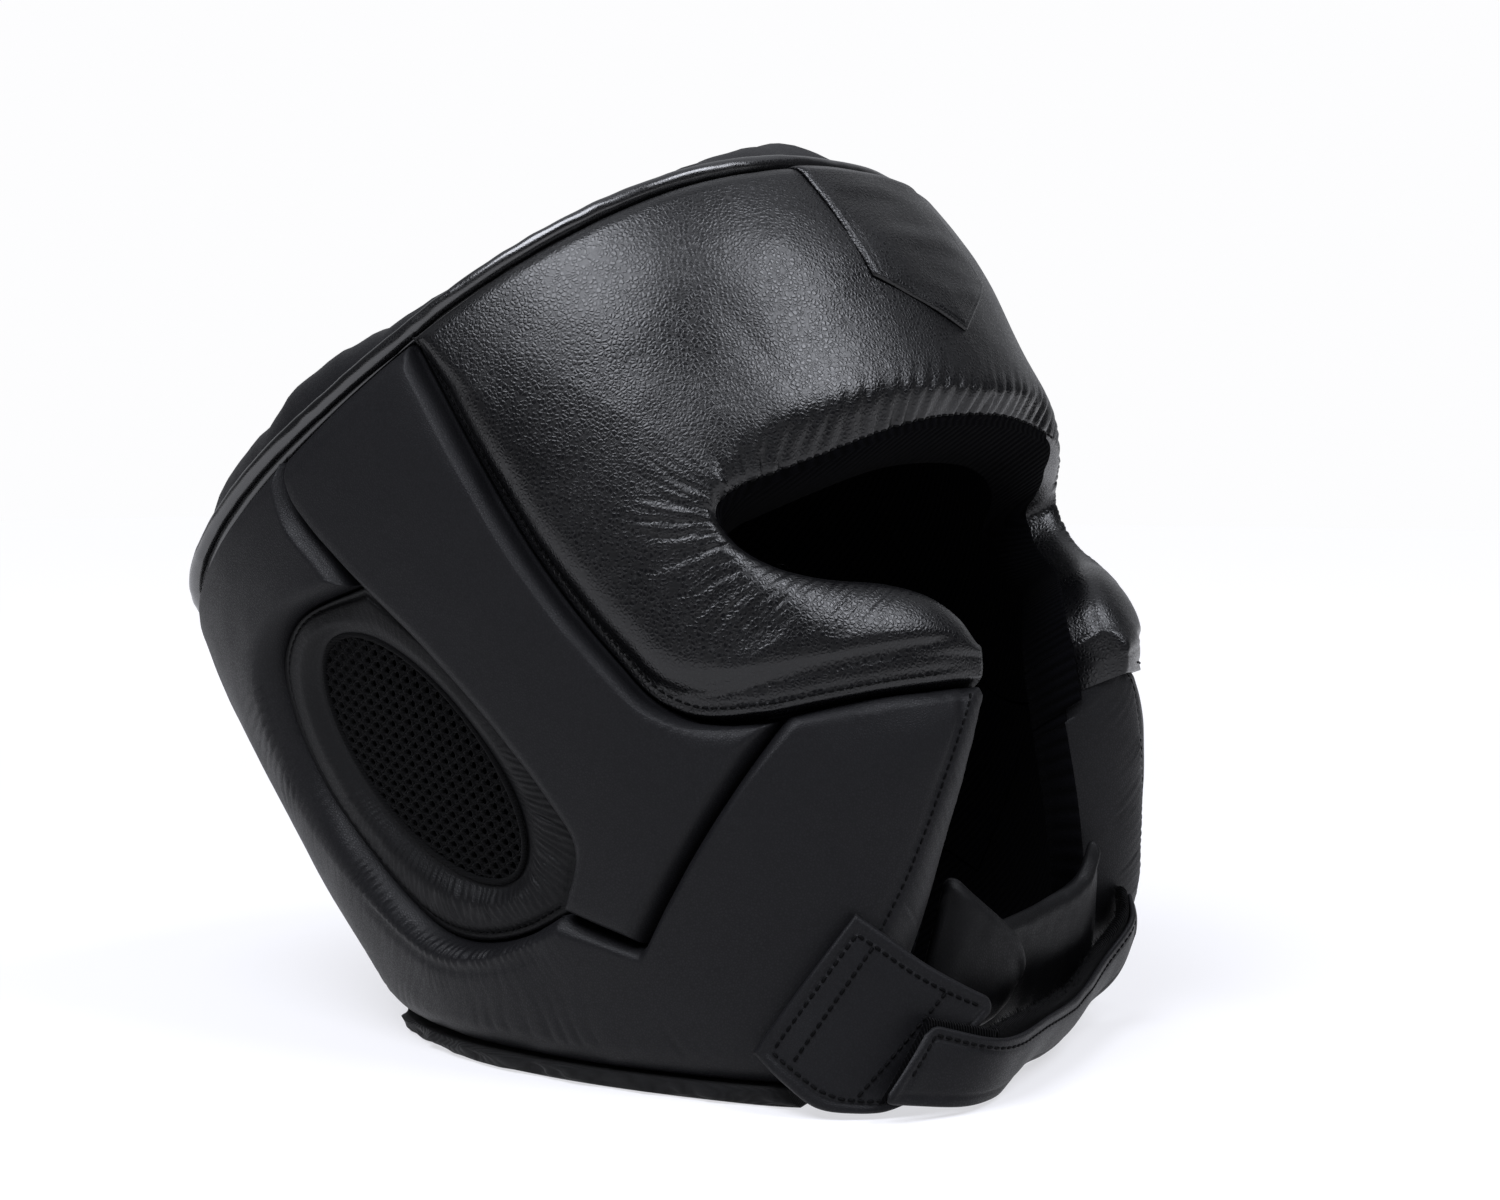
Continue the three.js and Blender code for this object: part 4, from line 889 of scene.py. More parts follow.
def facing(panel, edge, start, end, side=1, wrap=0.0, middle=0, bare=(-1, 0)):
    """A narrow strip of lining that laps over the hide's edge, and covers the foam's side down to the lining.

    Beyond the bare rows from the middle the hide goes round the edge first, as deep as wrap."""
    keep = (panel["t"] >= start) & (panel["t"] <= end)
    place, other = panel["line"][edge][keep], panel["line"]["b" if edge == "a" else "a"][keep]
    out = unrolled(place) - unrolled(other)
    out /= np.linalg.norm(out, axis=1, keepdims=True)
    drop = panel["col"][edge + "Drop"][keep, 0]
    wrapped = smooth(np.abs(panel["t"][keep] - middle), *bare)
    start_depth = np.minimum(drop + wrap * wrapped, PAD - 1)

    def beside(shift, depth):
        """A line beside the panel's edge, moved out sideways and down into the foam."""
        at = place + np.stack([np.degrees(out[:, 0] / MEAN_RADIUS), out[:, 1]], 1) * shift
        return on_head(side * at[:, 0], at[:, 1], -depth)

    rings = []
    for inward, lift, shift in ((0.15, -0.2, 0.0), (0.75, 0.05, 0.05), (0.6, 0.22, 0.3), (0.1, 0.25, 0.6)):
        line, normal = line_on(panel, edge, inward, start, end)
        rings.append(np.where(wrapped[:, None] < 0.01, line + normal * lift, beside(shift, start_depth)))
    rings += [beside(0.8, start_depth + 0.8), beside(0.8, LINING_IN), beside(0.1, LINING_IN)]
    return loft(at_rest(np.swapaxes(np.array(rings), 0, 1)))


def end_facing(panel, row, inner, drop, side=1):
    """The same strip across an end of a panel. Inner is a row just inside it."""
    a, b = panel["line"]["a"], panel["line"]["b"]
    share = np.linspace(-0.02, 1.02, 12)[:, None]
    place, behind = (a[k] + (b - a)[k] * share for k in (row, inner))
    out = unrolled(place) - unrolled(behind)
    out /= np.linalg.norm(out, axis=1, keepdims=True)
    rings = []
    for shift, depth in ((0.1, drop + 0.3), (0.8, drop + 0.8), (0.8, LINING_IN), (0.1, LINING_IN)):
        at = place + np.stack([np.degrees(out[:, 0] / MEAN_RADIUS), out[:, 1]], 1) * shift
        rings.append(on_head(side * at[:, 0], at[:, 1], -depth))
    return loft(at_rest(np.swapaxes(np.array(rings), 0, 1)))


print("the lining is", round(LINING_IN - LINING_OUT, 1), "mm thick")

# %% Sew the lining
def skin_area(piece):
    """Area of one side of a thin piece, in square metres."""
    return sum(face.area for face in piece.data.polygons) / 2


lining_skins = [lining_sheet(face_rows, 70, 8)]
lining_skins.append(facing(face, "a", 0, 2 * FACE_MIDDLE, wrap=4.5, middle=FACE_MIDDLE + 6, bare=(9.5, 12)))
lining_skins += [end_facing(face, 0, 3, drop=10), end_facing(face, -1, -4, drop=10)]
for name, side in SIDES.items():
    lining_skins += [lining_sheet(side_rows, 20, 6, side), lining_sheet(JAW_ROWS, 40, 10, side)]
    lining_skins.append(facing(jaws[name], "b", 0, 6.9, side, wrap=3))
    lining_skins.append(end_facing(jaws[name], 0, 3, drop=15, side=side))
    top, low = ear_ring(side, 2.0, flat_profile, -LINING_IN)
    lining_skins.append(loft(at_rest(np.concatenate([top, low[:, ::-1]], 1)[::4]), True))
for side in SIDES.values():
    ends = [kinked(beside_seam(d), [False] * len(CHEEK_SEAM))(np.linspace(9.5, 12.95, 40))
            for d in (0.22, -0.22)]
    rings = [on_head(side * at[:, 0], at[:, 1], -depth) for at, depth in
             ((ends[0], 5.2), (ends[1], 5.2), (ends[1], LINING_IN), (ends[0], LINING_IN))]
    lining_skins.append(loft(at_rest(np.swapaxes(np.array(rings), 0, 1))))
lining_piece = make_piece("knit_lining", lining_skins, ribbed_knit, ["lining"])
print("one side of the lining is", round(skin_area(lining_piece), 4), "square metres")

# %% [markdown]
# ## The rim and the crown
# The top edge is bound with a rolled strip of hide, pulled tight over a cord so that it shines.
# A ring of points swept round the head gives the roll, and a thin flange joins it to the panels.

# %% Rim binding
BINDING_RADIUS = 2.5
BINDING_ROWS = np.array([[0, -5.5, 61.7], [70, -5.5, 61.7], [105, -4, 63.1], [180, -2.5, 63.9]])


def binding_at(angle):
    """Offset and height of the binding's middle at an angle."""
    turn = np.abs((np.asarray(angle, float) + 180) % 360 - 180)
    k = np.clip(np.searchsorted(BINDING_ROWS[:, 0], turn, side="left"), 1, 3)
    start, end = BINDING_ROWS[k - 1], BINDING_ROWS[k]
    share = np.clip((turn - start[..., 0]) / (end[..., 0] - start[..., 0]), 0, 1)
    share = share * share * (3 - 2 * share)
    return [start[..., i] + (end[..., i] - start[..., i]) * share for i in (1, 2)]


around = np.linspace(-180, 180, 480, endpoint=False)
turn = np.linspace(0, math.tau, 20, endpoint=False)
offset, height = binding_at(around)
pucker = 1 + 0.05 * noise(around[:, None] / 2.2, turn[None] * 0.9)
pucker = pucker + 0.05 * noise(around[:, None] / 9, turn[None] / 3)
bead = on_head(around[:, None], RIM_HEIGHT, offset[:, None] + BINDING_RADIUS * pucker * np.cos(turn))
bead[..., 2] = height[:, None] + BINDING_RADIUS * pucker * np.sin(turn)
FLANGE = ((0.4, -2.2, 0), (-5.8, RIM_HEIGHT + 0.1, 1), (-7.4, RIM_HEIGHT + 0.1, 1), (-1.4, -2.0, 0))
flange = []
for out, up, fixed in FLANGE:
    ring = on_head(around, RIM_HEIGHT, out if fixed else offset + out)
    ring[:, 2] = up if fixed else height + up
    flange.append(ring)
flange = np.swapaxes(np.array(flange), 0, 1)
make_piece("rim_binding_leather", [loft(at_rest(bead), True), loft(at_rest(flange), True)],
           stretched_cowhide, ["rim_binding"])

# %% [markdown]
# ### The crown
# A soft thin cap closes the top inside the rim. It is cut a little large, so it slumps and shows loose folds.
# Rings from its edge to its middle give both of its sides. A few swells are where the cap stands up higher.

# %% Crown
CROWN_RISE, CROWN_FOOT, CROWN_THICK = 22, RIM_HEIGHT + 0.6, 2.0
CROWN_SWELLS = ((-13, 28, 25), (92, 20, 14), (131, 24, 18), (-95, 20, 12))


def crown_face(shrink, count, rings):
    """One side of the cap, as rings from the edge to the middle."""
    bearing = np.linspace(-180, 180, count, endpoint=False)[None]
    reach = np.linspace(1, 0.0006, rings)[:, None]
    edge = on_head(bearing, RIM_HEIGHT, binding_at(bearing)[0] - BINDING_RADIUS - 0.4)
    swell = sum(rise * np.exp(-((bearing - angle) / spread) ** 2) for angle, spread, rise in CROWN_SWELLS)
    up = CROWN_FOOT + (CROWN_RISE - shrink) * np.sqrt(1 - reach ** 2.4)
    up = up + swell * (1 - reach ** 12) * reach ** 2
    folds = 1.1 * noise(bearing / 7, reach * 3) + 0.5 * noise(bearing / 2.6, reach * 5)
    folds = smooth(reach, 0.2, 0.8) * folds
    slump = 1.6 * noise(edge[..., 0] * reach / 30, edge[..., 1] * reach / 26) * smooth(1 - reach, 0, 0.25)
    draw = 1 - shrink / 90
    worn = edge * reach[..., None] * draw
    worn[..., 2] = up + (folds * smooth(1 - reach, 0, 0.12) + slump)
    return worn


cap = [crown_face(shrink, count=210, rings=50) for shrink in (0, CROWN_THICK)]
cap = np.concatenate([cap[0], cap[1][::-1]], 0)
crown_piece = make_piece("crown_cap_leather", [loft(at_rest(np.swapaxes(cap, 0, 1)), True)], fine_cowhide,
                         ["crown"])
print("one side of the cap is", round(skin_area(crown_piece), 4), "square metres")

# %% [markdown]
# ## The brow patch
# A plain five-sided patch of hide is glued on the middle of the brow.
# It follows the brow's own roll and dent, so its ground is worked out from the same values.

# %% Brow patch
PATCH = {"half_angle": 12.6, "top": 57.4, "corner": 18, "point": 0.5, "thick": 0.9}
levels = np.concatenate([np.linspace(PATCH["point"] + 0.4, PATCH["corner"], 40),
                         np.linspace(PATCH["corner"] + 0.8, PATCH["top"], 60)])
across = np.linspace(-1, 1, 61)
half = PATCH["half_angle"] * np.minimum(1, (levels - PATCH["point"]) / (PATCH["corner"] - PATCH["point"]))
dent = np.interp(np.abs(half[:, None] * across), [0, 6.5, 13, 19.7], [r["dent"] for r in BROW_ROWS[:4]])
dent = dent * np.exp(-((levels - DENT_HEIGHT) / DENT_SPREAD) ** 2)[:, None]
ground = -RIM_DROP * roll((RIM_HEIGHT - levels) / RIM_ROLL, 2)[:, None] - dent + 0.4
inward = (1 - np.abs(across)) * np.radians(half)[:, None] * MEAN_RADIUS
inward = np.minimum(inward, (PATCH["top"] - levels)[:, None])
lift = PATCH["thick"] * np.sqrt(np.clip(inward / 1.2, 0.02, 1)) - 0.2 * np.exp(-((inward - 2.2) / 0.6) ** 2)
lift = lift + 0.3 * noise(across * half[:, None] / 7, levels[:, None] / 6)
top = on_head(half[:, None] * across, levels[:, None], ground + lift)
low = on_head(half[:, None] * across, levels[:, None], ground - 0.1)
make_piece("brow_patch_leather", [loft(at_rest(np.concatenate([top, low[:, ::-1]], 1)))], grained_cowhide,
           ["brow_patch"])

# %% [markdown]
# ## The lower tape
# The raw lower edge is bound with a black woven tape, and the guard stands on it.
# Its outline is swept along the lower edge, and each point is set at its own height above the floor.

# %% Foot tape
FOOT_HEIGHT, FOOT_OUTSIDE, FOOT_INSIDE = 4.4, 0.5, -20
angles = np.linspace(79, 276, 360)
FOOT_OUTLINE = np.array([(FOOT_OUTSIDE - 1.6, 0.0), (FOOT_OUTSIDE - 0.5, 0.5), (FOOT_OUTSIDE, 1.4),
                         (FOOT_OUTSIDE, 2.4), (FOOT_OUTSIDE - 0.2, FOOT_HEIGHT - 0.8),
                         (FOOT_OUTSIDE - 1.2, FOOT_HEIGHT), (FOOT_INSIDE, FOOT_HEIGHT), (FOOT_INSIDE, 0.0)])
rings = []
for offset, rise in FOOT_OUTLINE:
    wobble = offset + (0.9 * noise(angles / 5, rise / 2) + 0.7 * noise(angles / 1.9, rise)) * (0.3 < rise < 4)
    ring = at_rest(on_head(angles, floor_height(angles, rise, wobble), wobble))
    ring[:, 2] = rise * MM
    rings.append(ring)
make_piece("foot_tape", [loft(np.swapaxes(np.array(rings), 0, 1))], edge_tape, ["foot_binding"])

# %% [markdown]
# ## The chin pieces
# A wide tab is sewn to the right jaw. A narrow strap from the left jaw crosses in front and closes over it.
# Two soft flaps behind them make a rest for the chin.
# All four are bands between an upper and a lower edge. A row gives a point on each, and the band's bow.

# %% Bands
def centripetal(points, t):
    """A smooth curve through points, with the knots spaced by the root of the distances."""
    points = np.array(points, float)
    full = np.concatenate([[2 * points[0] - points[1]], points, [2 * points[-1] - points[-2]]])
    i = np.clip(t.astype(int), 0, len(points) - 2)
    u = (t - i)[:, None]
    p0, p1, p2, p3 = (full[i + k] for k in range(4))
    d0, d1, d2 = (np.sqrt(np.linalg.norm(b - a, axis=1))[:, None] for a, b in ((p0, p1), (p1, p2), (p2, p3)))
    m1 = ((p1 - p0) / d0 - (p2 - p0) / (d0 + d1) + (p2 - p1) / d1) * d1
    m2 = ((p2 - p1) / d1 - (p3 - p1) / (d1 + d2) + (p3 - p2) / d2) * d1
    return p1 + m1 * u + (-3 * p1 + 3 * p2 - 2 * m1 - m2) * u ** 2 + (2 * p1 - 2 * p2 + m1 + m2) * u ** 3


def leather_band(rows, front, back, steps, columns, edge_round, relief=None, corners=(0, 0)):
    """A band through rows, between a front and a back height, with rounded edges and corners."""
    rows = np.array(rows, float)
    t = np.linspace(0, len(rows) - 1, (len(rows) - 1) * steps + 1)
    upper, lower = centripetal(rows[:, :3], t), centripetal(rows[:, 3:6], t)
    bow = np.interp(t, np.arange(len(rows)), rows[:, 6])
    pace = np.linalg.norm(np.diff((upper + lower) / 2, axis=0), axis=1)
    run = np.concatenate([[0], np.cumsum(pace)])
    for radius, to_end in zip(corners, (run, run[-1] - run)):
        inset = radius - np.sqrt(np.clip(radius ** 2 - np.clip(radius - to_end, 0, radius) ** 2, 0, None))
        inward = (lower - upper) * (inset / np.linalg.norm(lower - upper, axis=1))[:, None]
        upper, lower = upper + inward, lower - inward
    across = lower - upper
    tangent = np.gradient(upper, axis=0) + np.gradient(lower, axis=0)
    away = np.cross(across, tangent)
    away /= np.linalg.norm(away, axis=1, keepdims=True)
    share = 0.5 - 0.5 * np.cos(np.linspace(0, math.pi, columns))
    share = 0.5 * share + 0.5 * np.linspace(0, 1, columns)
    middle = upper[:, None] + across[:, None] * share[:, None]
    middle = middle + away[:, None] * (bow[:, None] * 4 * share * (1 - share))[..., None]
    wide = np.linalg.norm(across, axis=1)
    rim = np.minimum(np.minimum(share, 1 - share) * wide[:, None], np.minimum(run, run[-1] - run)[:, None])
    keep = np.sqrt(np.clip(1 - (1 - np.clip(rim / edge_round, 0, 1)) ** 2, 0.03, 1))
    centre, half = (front + back) / 2, (front - back) / 2
    extra = relief(run[:, None] + 0 * rim, share[None] * wide[:, None], rim) if relief else 0
    face = middle + away[:, None] * (centre + half * keep + extra)[..., None]
    rear = middle + away[:, None] * (centre - half * keep + 0 * rim)[..., None]
    shift = np.array([0, BOX_CENTRE_SHIFT, 0])
    grid = {"out": (face + shift) * MM, "normal": np.broadcast_to(away[:, None], face.shape),
            "share": np.broadcast_to(share, rim.shape), "width": wide, "run": run}
    return loft(np.concatenate([face + shift, (rear + shift)[:, ::-1]], 1) * MM), grid


print("bands are made as they rest, and moved", BOX_CENTRE_SHIFT, "mm to the middle of the box")

# %% Tab and strap
TAB_ROWS = [(-74.5, -115, 47.5, -88, -94.5, 14, 2.6), (-69.5, -120, 42.5, -88, -103, 8, 2.4),
            (-62, -127, 35, -86, -111.5, 2.6, 1.6), (-53, -133.7, 28.5, -80.5, -119.5, 1.3, 0.8),
            (-46, -138.2, 24.5, -71.5, -127, 1.3, 0.4)]
STRAP_ROWS = [(-68.3, -132, 22, -83, -127.5, 5, 0.4), (-50, -140.6, 16.8, -57, -137, 1.4, 0.4),
              (-20, -138, 17.6, -18, -127, 2.6, 1.5), (5, -132, 18, 7, -123, 3.4, 1.5),
              (32.4, -124.8, 22.5, 38, -116, 8, 1.2), (48.2, -124.5, 31, 54.5, -117, 14.5, 0.8),
              (54.7, -120.4, 36.5, 63, -117.6, 24, 0.8)]


def band_relief(run, down, rim):
    """Slight waves, and a sewn groove beside the edge."""
    return 0.25 * noise(run / 9, down / 9) - 0.35 * np.exp(-((rim - 3) / 0.6) ** 2)


tab_skin, tab_grid = leather_band(TAB_ROWS, front=1.2, back=-1.2, steps=24, columns=60, edge_round=1.1,
                                  relief=band_relief, corners=(0, 6))
make_piece("chin_tab_leather", [tab_skin], fine_cowhide, ["chin_tab"])
strap_skin, strap_grid = leather_band(STRAP_ROWS, front=1.2, back=-0.2, steps=24, columns=36,
                                      edge_round=0.7, relief=band_relief, corners=(3, 0))
make_piece("chin_strap_leather", [strap_skin], fine_cowhide, ["chin_strap"])
for name, grid in (("tab", tab_grid), ("strap", strap_grid)):
    print("the", name, "is", round(grid["run"][-1]), "mm long and", round(grid["width"].mean()), "mm wide")

# %% [markdown]
# ### Loop pile
# The back of the strap carries the loop half of its fastening: a thin layer of pile that shows at the edge.
# A smooth band would look like rubber, so short spikes of fixed random lean stand out of it.

# %% Loop pile
# The pile is moved 0.6 mm past the strap's near end. The black edge it shows there is partly the pile's own
# edge and partly a painted shadow of the lifted end.
PILE_ROWS = [(x - 0.6, y, z + 1.8, *rest) for x, y, z, *rest in STRAP_ROWS]
pile_skin, _ = leather_band(PILE_ROWS[:2], front=-0.25, back=-1.2, steps=24, columns=30, edge_round=0.5)
thick_skin, pile_grid = leather_band(PILE_ROWS[1:], front=-0.25, back=-3.2, steps=24, columns=30,
                                     edge_round=0.9)


def tufts(grid, count, length, thick):
    """Short loops of pile, as thin spikes that stand out of the band's back and its upper edge."""
    dice = np.random.default_rng(5)
    rows, columns = grid["out"].shape[:2]
    skins = []
    for at, along in zip(dice.random(count), dice.random(count) ** 2):
        i, j = int(at * (rows - 2)) + 1, int(along * (columns - 3)) + 1
        up = grid["out"][i, j - 1] - grid["out"][i, j + 1]
        up /= np.linalg.norm(up)
        ahead = grid["out"][i + 1, j] - grid["out"][i - 1, j]
        ahead /= np.linalg.norm(ahead)
        back = -grid["normal"][i, j]
        foot = grid["out"][i, j] + back * MM * 2.6 * (1 - 0.9 * (j < 4) * dice.random())
        lean = 0.5 * dice.standard_normal(2)
        way = back * (j >= 4) + up * (1.1 if j < 4 else 0.4) + lean[0] * ahead + lean[1] * up * 0.4
        tip = foot + MM * length * way
        ring = np.array([ahead, back - 0.5 * ahead, -back - 0.5 * ahead]) * thick * MM
        knee = (foot + tip) / 2 + ring + 0.12 * MM * lean[1] * ahead
        skins.append(loft(np.array([foot + ring, knee, tip + 0.4 * ring])))
    return skins


loops = tufts(pile_grid, count=2600, length=1.1, thick=0.09)
make_piece("chin_strap_pile", [pile_skin, thick_skin] + loops, loop_pile)

# %% [markdown]
# ### Slack in the flaps
# The flaps are stuffed with a little soft foam, so they swell between their sewn edges.
# A short cloth simulation gives that: the edges are held, air presses from inside, and no point may go far.
# The result is written back to the mesh, so the flap is a plain mesh again afterwards.

# %% Swelling by simulation
PUFF = {"pressure": 4.0, "frames": 20, "most_mm": 1.2}


def puffed(piece, held):
    """Blows a soft piece up a little by a cloth simulation, with some points held, and applies the result."""
    start = np.array([v.co for v in piece.data.vertices])
    trial = bpy.data.objects.new(piece.name + "_trial", piece.data.copy())
    bpy.context.scene.collection.objects.link(trial)
    trial.vertex_groups.new(name="sewn").add(held, 1.0, "REPLACE")
    cloth = trial.modifiers.new("cloth", "CLOTH")
    cloth.settings.quality = 4
    cloth.settings.vertex_group_mass = "sewn"
    cloth.settings.use_pressure = True
    cloth.settings.uniform_pressure_force = PUFF["pressure"]
    cloth.settings.effector_weights.gravity = 0
    cloth.collision_settings.use_collision = False
    for step in range(1, PUFF["frames"] + 1):
        bpy.context.scene.frame_set(step)
    swollen = trial.evaluated_get(bpy.context.evaluated_depsgraph_get()).to_mesh()
    move = np.array([v.co for v in swollen.vertices]) - start
    far = np.linalg.norm(move, axis=1, keepdims=True)
    move *= np.minimum(1, PUFF["most_mm"] * MM / np.maximum(far, 1e-9))
    piece.data.vertices.foreach_set("co", (start + move).ravel())
    bpy.context.scene.frame_set(1)
    bpy.data.objects.remove(trial)
    print(piece.name, "swelled by up to", round(float(far.max()) / MM, 2), "mm, kept to", PUFF["most_mm"])


print("each flap is blown up for", PUFF["frames"], "frames")

# %% Chin flaps
WING_STEPS, WING_COLUMNS = 24, 40
WING_ROWS = {"right": [(-32.5, -115, 53.5, -42, -110.5, 18, 0.5), (-28.5, -119.5, 47.5, -37, -114, 14, 1),
                       (-20, -122.5, 40.5, -26, -118, 12, 1), (-8, -125, 31, -12, -119, 15, 0.5)],
             "left": [(-12, -116.5, 36.5, -12, -111, 6, 0.5), (14, -117.5, 40, 14, -112, 6, 1),
                      (31.5, -118.5, 45.5, 34, -112.5, 9, 1), (36.5, -120, 57, 44, -113, 17, 0.5)]}


def wing_relief(run, down, rim):
    """Slack folds of a soft flap, and a fuller roll along its upper edge."""
    folds = 0.8 * noise(run / 13, down / 15) + 0.2 * noise(run / 4, down / 9 + run / 12)
    return folds + 0.9 * np.exp(-((down - 3) / 2.2) ** 2) + 0.8 * smooth(rim, 0, 8)


for name, rows in WING_ROWS.items():
    wing_skin, _ = leather_band(rows, front=1.5, back=-1.5, steps=WING_STEPS, columns=WING_COLUMNS,
                                edge_round=2.4, relief=wing_relief, corners=(5, 7))
    wing = make_piece("chin_wing_leather_" + name, [wing_skin], soft_cowhide,
                      ["chin_wing_" + name])
    size = 2 * WING_COLUMNS
    last = len(wing.data.vertices) // size - 1
    edges = (0, WING_COLUMNS - 1, WING_COLUMNS, size - 1)
    sewn = [i for i in range(len(wing.data.vertices)) if i // size in (0, last) or i % size in edges]
    puffed(wing, sewn)

# %% [markdown]
# ## Stitches
# The seams are lockstitched with thick thread, about four stitches to the centimetre.
# A dotted line in a texture would look flat close up, so each stitch is a small rounded bead of thread.

# %% Stitches
STITCH = {"pitch": 2.4, "length": 1.75, "radius": 0.33, "sink": 0.1}
BEAD_AT = np.array([-0.5, -0.44, -0.25, 0.25, 0.44, 0.5])
BEAD_SIZE = np.array([0.3, 0.75, 1, 1, 0.75, 0.3])


def stitches(line, normal, size=1.0):
    """One rounded bead for each stitch along a line of points in metres."""
    gaps = np.linalg.norm(np.diff(line, axis=0), axis=1)
    run = np.concatenate([[0], np.cumsum(gaps)]) / MM
    skins = []
    turn = np.linspace(0, math.tau, 6, endpoint=False)
    for at in np.arange(STITCH["pitch"] / 2, run[-1] - STITCH["pitch"] / 2, STITCH["pitch"]):
        here = [np.array([np.interp(at + d, run, line[:, k]) for k in range(3)]) for d in (-0.5, 0, 0.5)]
        up = np.array([np.interp(at, run, normal[:, k]) for k in range(3)])
        ahead = here[2] - here[0]
        ahead /= np.linalg.norm(ahead)
        out = np.cross(ahead, up)
        out /= np.linalg.norm(out)
        up = np.cross(out, ahead)
        arch = up * (STITCH["radius"] * 0.5 - STITCH["sink"]) * MM
        circle = np.cos(turn)[:, None] * out + np.sin(turn)[:, None] * up
        rings = [here[1] + ahead * x * STITCH["length"] * MM + arch * (1 - 2 * abs(x))
                 + STITCH["radius"] * MM * size * part * circle for x, part in zip(BEAD_AT, BEAD_SIZE)]
        skins.append(loft(np.array(rings)))
    return skins


def turned(direction):
    """Directions as worn, turned to the resting frame."""
    return (at_rest(direction) - at_rest(np.zeros(3))) / MM


def seam(panel, edge, distance, start, end):
    """Stitches along a panel."""
    line, normal = line_on(panel, edge, distance, start, end)
    return stitches(at_rest(line), turned(normal))


def band_seam(grid, line):
    """Stitches along places of a band, given as runs and depths in millimetres."""
    run = np.array([p[0] for p in line], float)
    down = np.array([p[1] for p in line], float)
    fine = np.linspace(0, len(run) - 1, 40 * (len(run) - 1) + 1)
    run, down = np.interp(fine, np.arange(len(run)), run), np.interp(fine, np.arange(len(down)), down)
    i = np.clip(np.searchsorted(grid["run"], run) - 1, 0, len(grid["run"]) - 2)
    u = ((run - grid["run"][i]) / (grid["run"][i + 1] - grid["run"][i]))[:, None]
    both = np.concatenate([grid["out"], grid["normal"]], 2)
    points = []
    for k, (a, w) in enumerate(zip(i, u)):
        section = both[a] * (1 - w) + both[a + 1] * w
        depth = grid["share"][a] * grid["width"][a]
        points.append([np.interp(down[k], depth, section[:, c]) for c in range(6)])
    points = np.array(points)
    return stitches(points[:, :3], points[:, 3:], size=1.35)


print("there are", round(10 / STITCH["pitch"], 1), "stitches to the centimetre")

# %% Sew the seams
thread = seam(face, "b", FACE_STITCH_AT, FACE_MIDDLE + 10.2, FACE_MIDDLE + 22.2)
thread += seam(face, "b", FACE_STITCH_AT, 0.8, FACE_MIDDLE - 10.2)
thread += seam(face, "a", 0.85, FACE_MIDDLE - 4, FACE_MIDDLE + 11)
for name, side in SIDES.items():
    thread += seam(jaws[name], "b", JAW_STITCH_AT, 0.4, 6.5)
    top = ear_rolls[name]
    rear = np.roll(np.arange(len(ear_turn)), -int(np.argmax(np.cos(ear_turn) < 0.1)))
    rear = rear[np.cos(ear_turn[rear]) > -0.25]
    rear = rear[np.argsort(np.unwrap(ear_turn[rear]))]
    around_ear = top[rear, 2] * 0.7 + top[rear, 3] * 0.3
    out = around_ear * np.array([1, 1, 0])
    thread += stitches(at_rest(around_ear), turned(out / np.linalg.norm(out, axis=1, keepdims=True)))
tab_end = tab_grid["run"][-1]


def tab_line(runs, shares):
    """Places on the tab, from runs along it and shares across it."""
    return [(r, s * float(np.interp(r, tab_grid["run"], tab_grid["width"]))) for r, s in zip(runs, shares)]


for run in (3.6, 8.6, 0.66 * tab_end):
    thread += band_seam(tab_grid, tab_line((run, run), (0.09, 0.91)))
for share in (0.09, 0.91):
    thread += band_seam(tab_grid, tab_line(np.linspace(3.6, tab_end - 4, 6), (share,) * 6))
strap_end = strap_grid["run"][-1]
thread += band_seam(strap_grid, [(3, 2.4), (strap_end - 3, 2.4)]) + band_seam(strap_grid, [(3, 2.4), (3, 15)])
make_piece("seam_stitches", thread, nylon_thread)
print(len(thread), "stitches")

# %% [markdown]
# ## Floor, light and camera
# The photograph was taken on white paper under large soft lamps, so the floor is pale and matt.
# The paper carries a painted glow that stands in for lamp light on it. It grows with distance, where the
# lamps reach less, until it meets the white sky.

# %% Floor
floor_mesh = bpy.data.meshes.new("paper_floor")
FLOOR_HALF = 6.0
floor_corners = [(x * FLOOR_HALF, y * FLOOR_HALF, -0.0002) for x, y in ((-1, -1), (1, -1), (1, 1), (-1, 1))]
floor_mesh.from_pydata(floor_corners, [], [(0, 1, 2, 3)])
paper, paper_tree, paper_out = new_finish("white_background_paper")
paper_at = add_node(paper_tree, "ShaderNodeTexCoord").outputs["Object"]
far_off = add_node(paper_tree, "ShaderNodeVectorMath", {"operation": "LENGTH"}, in0=paper_at).outputs["Value"]
# Painted light: the paper's glow, stronger with distance from the guard.
painted_glow = add_node(paper_tree, "ShaderNodeMapRange", {"interpolation_type": "SMOOTHSTEP"}, in0=far_off,
                     in1=0.1, in2=1.6, in3=0.66, in4=0.89).outputs[0]
sheet = add_node(paper_tree, "ShaderNodeBsdfPrincipled", Base_Color=linear("98989a"), Roughness=0.9,
                 Emission_Color=linear("fbfbff"), Emission_Strength=painted_glow)
paper_tree.links.new(sheet.outputs[0], paper_out.inputs["Surface"])
floor_mesh.materials.append(paper)
floor = bpy.data.objects.new("paper_floor", floor_mesh)
bpy.context.scene.collection.objects.link(floor)
print("the floor is", 2 * FLOOR_HALF, "m wide")

# %% [markdown]
# ### Sky and lamps
# The camera sees a white sky, but the leather must mirror a dim room, or it turns grey.
# So the sky has two strengths, chosen by whether the ray comes from the camera.
# One wide glow from above fills the shadows. Two softboxes, at the side and in front, make the highlights.

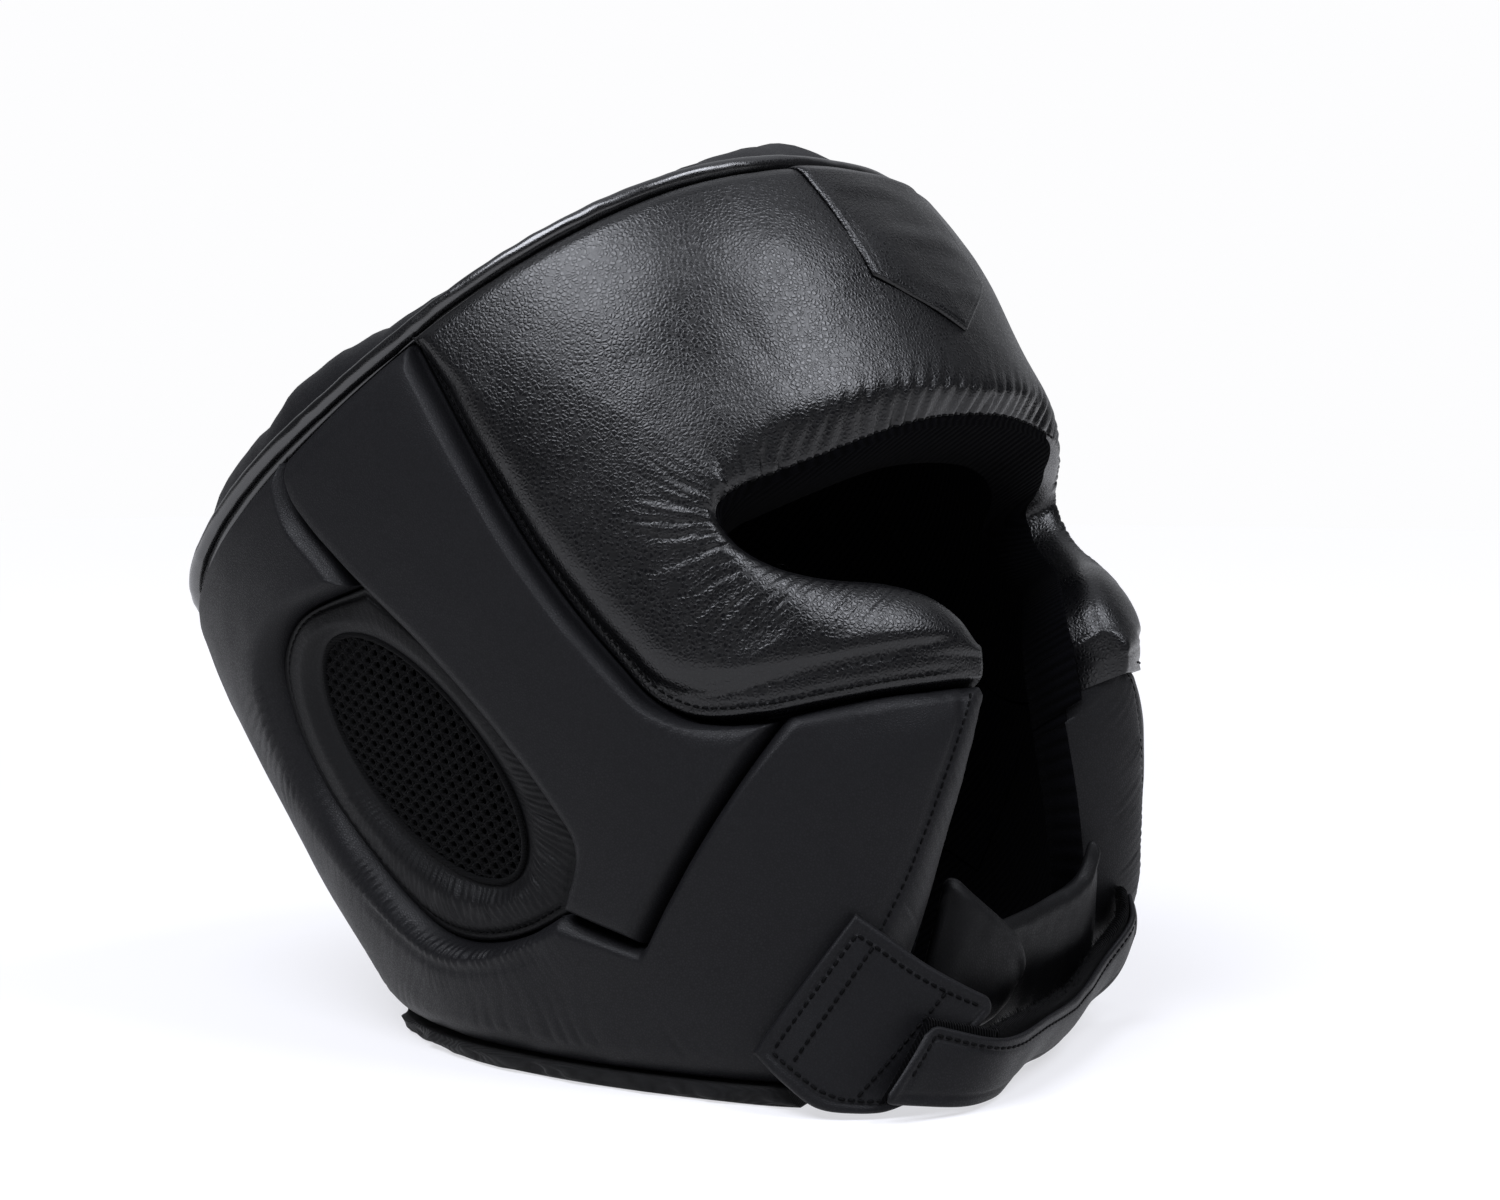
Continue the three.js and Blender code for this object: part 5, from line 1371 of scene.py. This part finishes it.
# %% Sky
world = bpy.data.worlds.new("white_studio")
bpy.context.scene.world = world
world.use_nodes = True
sky = world.node_tree
sky.nodes.clear()
seen = add_node(sky, "ShaderNodeLightPath").outputs["Is Camera Ray"]
bright = add_node(sky, "ShaderNodeBackground", Color=linear("fdfdfe"), Strength=1.0)
way = add_node(sky, "ShaderNodeTexCoord").outputs["Generated"]
BACKDROP_WAY = (0.816, 0.577, 0.05)
facing_it = add_node(sky, "ShaderNodeVectorMath", {"operation": "DOT_PRODUCT"}, in0=way,
                     in1=BACKDROP_WAY).outputs["Value"]
backdrop = add_node(sky, "ShaderNodeMapRange", {"interpolation_type": "SMOOTHSTEP"}, in0=facing_it,
                    in1=0.45, in2=0.95, in3=0.07, in4=0.55).outputs[0]
dim = add_node(sky, "ShaderNodeBackground", Color=linear("f0f2f8"), Strength=backdrop)
mixed = add_node(sky, "ShaderNodeMixShader", Fac=seen, in1=dim.outputs[0], in2=bright.outputs[0])
sky.links.new(mixed.outputs[0], add_node(sky, "ShaderNodeOutputWorld").inputs["Surface"])
print("sky:", world.name)

# %% Lamps
AIM, LAMP_DISTANCE = Vector((0, 0, 0.12)), 1.3


def lamp(name, kind, bearing, rise, watts, **settings):
    """A soft lamp that looks at the guard from a bearing and a rise, both in degrees."""
    light = bpy.data.lights.new(name, kind)
    light.energy = watts
    light.color = linear("f3f6ff")[:3]
    for key, value in settings.items():
        setattr(light, key, value)
    a, e = math.radians(bearing), math.radians(rise)
    back = Vector((math.sin(a) * math.cos(e), -math.cos(a) * math.cos(e), math.sin(e)))
    thing = bpy.data.objects.new(name, light)
    thing.location = AIM + back * LAMP_DISTANCE
    thing.rotation_euler = (-back).to_track_quat("-Z", "Y").to_euler()
    bpy.context.scene.collection.objects.link(thing)


lamp("ceiling_glow", "SUN", 0, 90, 0.75, angle=math.radians(90))
lamp("side_softbox", "AREA", -90, 53, 20.5, shape="RECTANGLE", size=0.9, size_y=0.65)
lamp("front_softbox", "AREA", 3, 49, 11, shape="RECTANGLE", size=0.55, size_y=0.55)
bpy.context.scene.view_settings.view_transform = "Standard"
print("lamps:", ", ".join(light.name for light in bpy.data.lights))

# %% [markdown]
# ### Camera
# The camera stands at the wearer's right and a little in front, low above the floor, with a longish lens.
# Its place and lens were fitted to the photograph's outline.

# %% Camera
camera = bpy.data.cameras.new("camera")
camera.sensor_width, camera.lens, camera.clip_start = 36, 64.98, 0.01
eye = bpy.data.objects.new("camera", camera)
eye.location = (-0.6110, -0.45821, 0.1530)
eye.rotation_euler = Vector((0.8156, 0.5766, -0.0481)).to_track_quat("-Z", "Y").to_euler()
bpy.context.scene.collection.objects.link(eye)
bpy.context.scene.camera = eye
print("camera at", [round(c, 3) for c in eye.location])
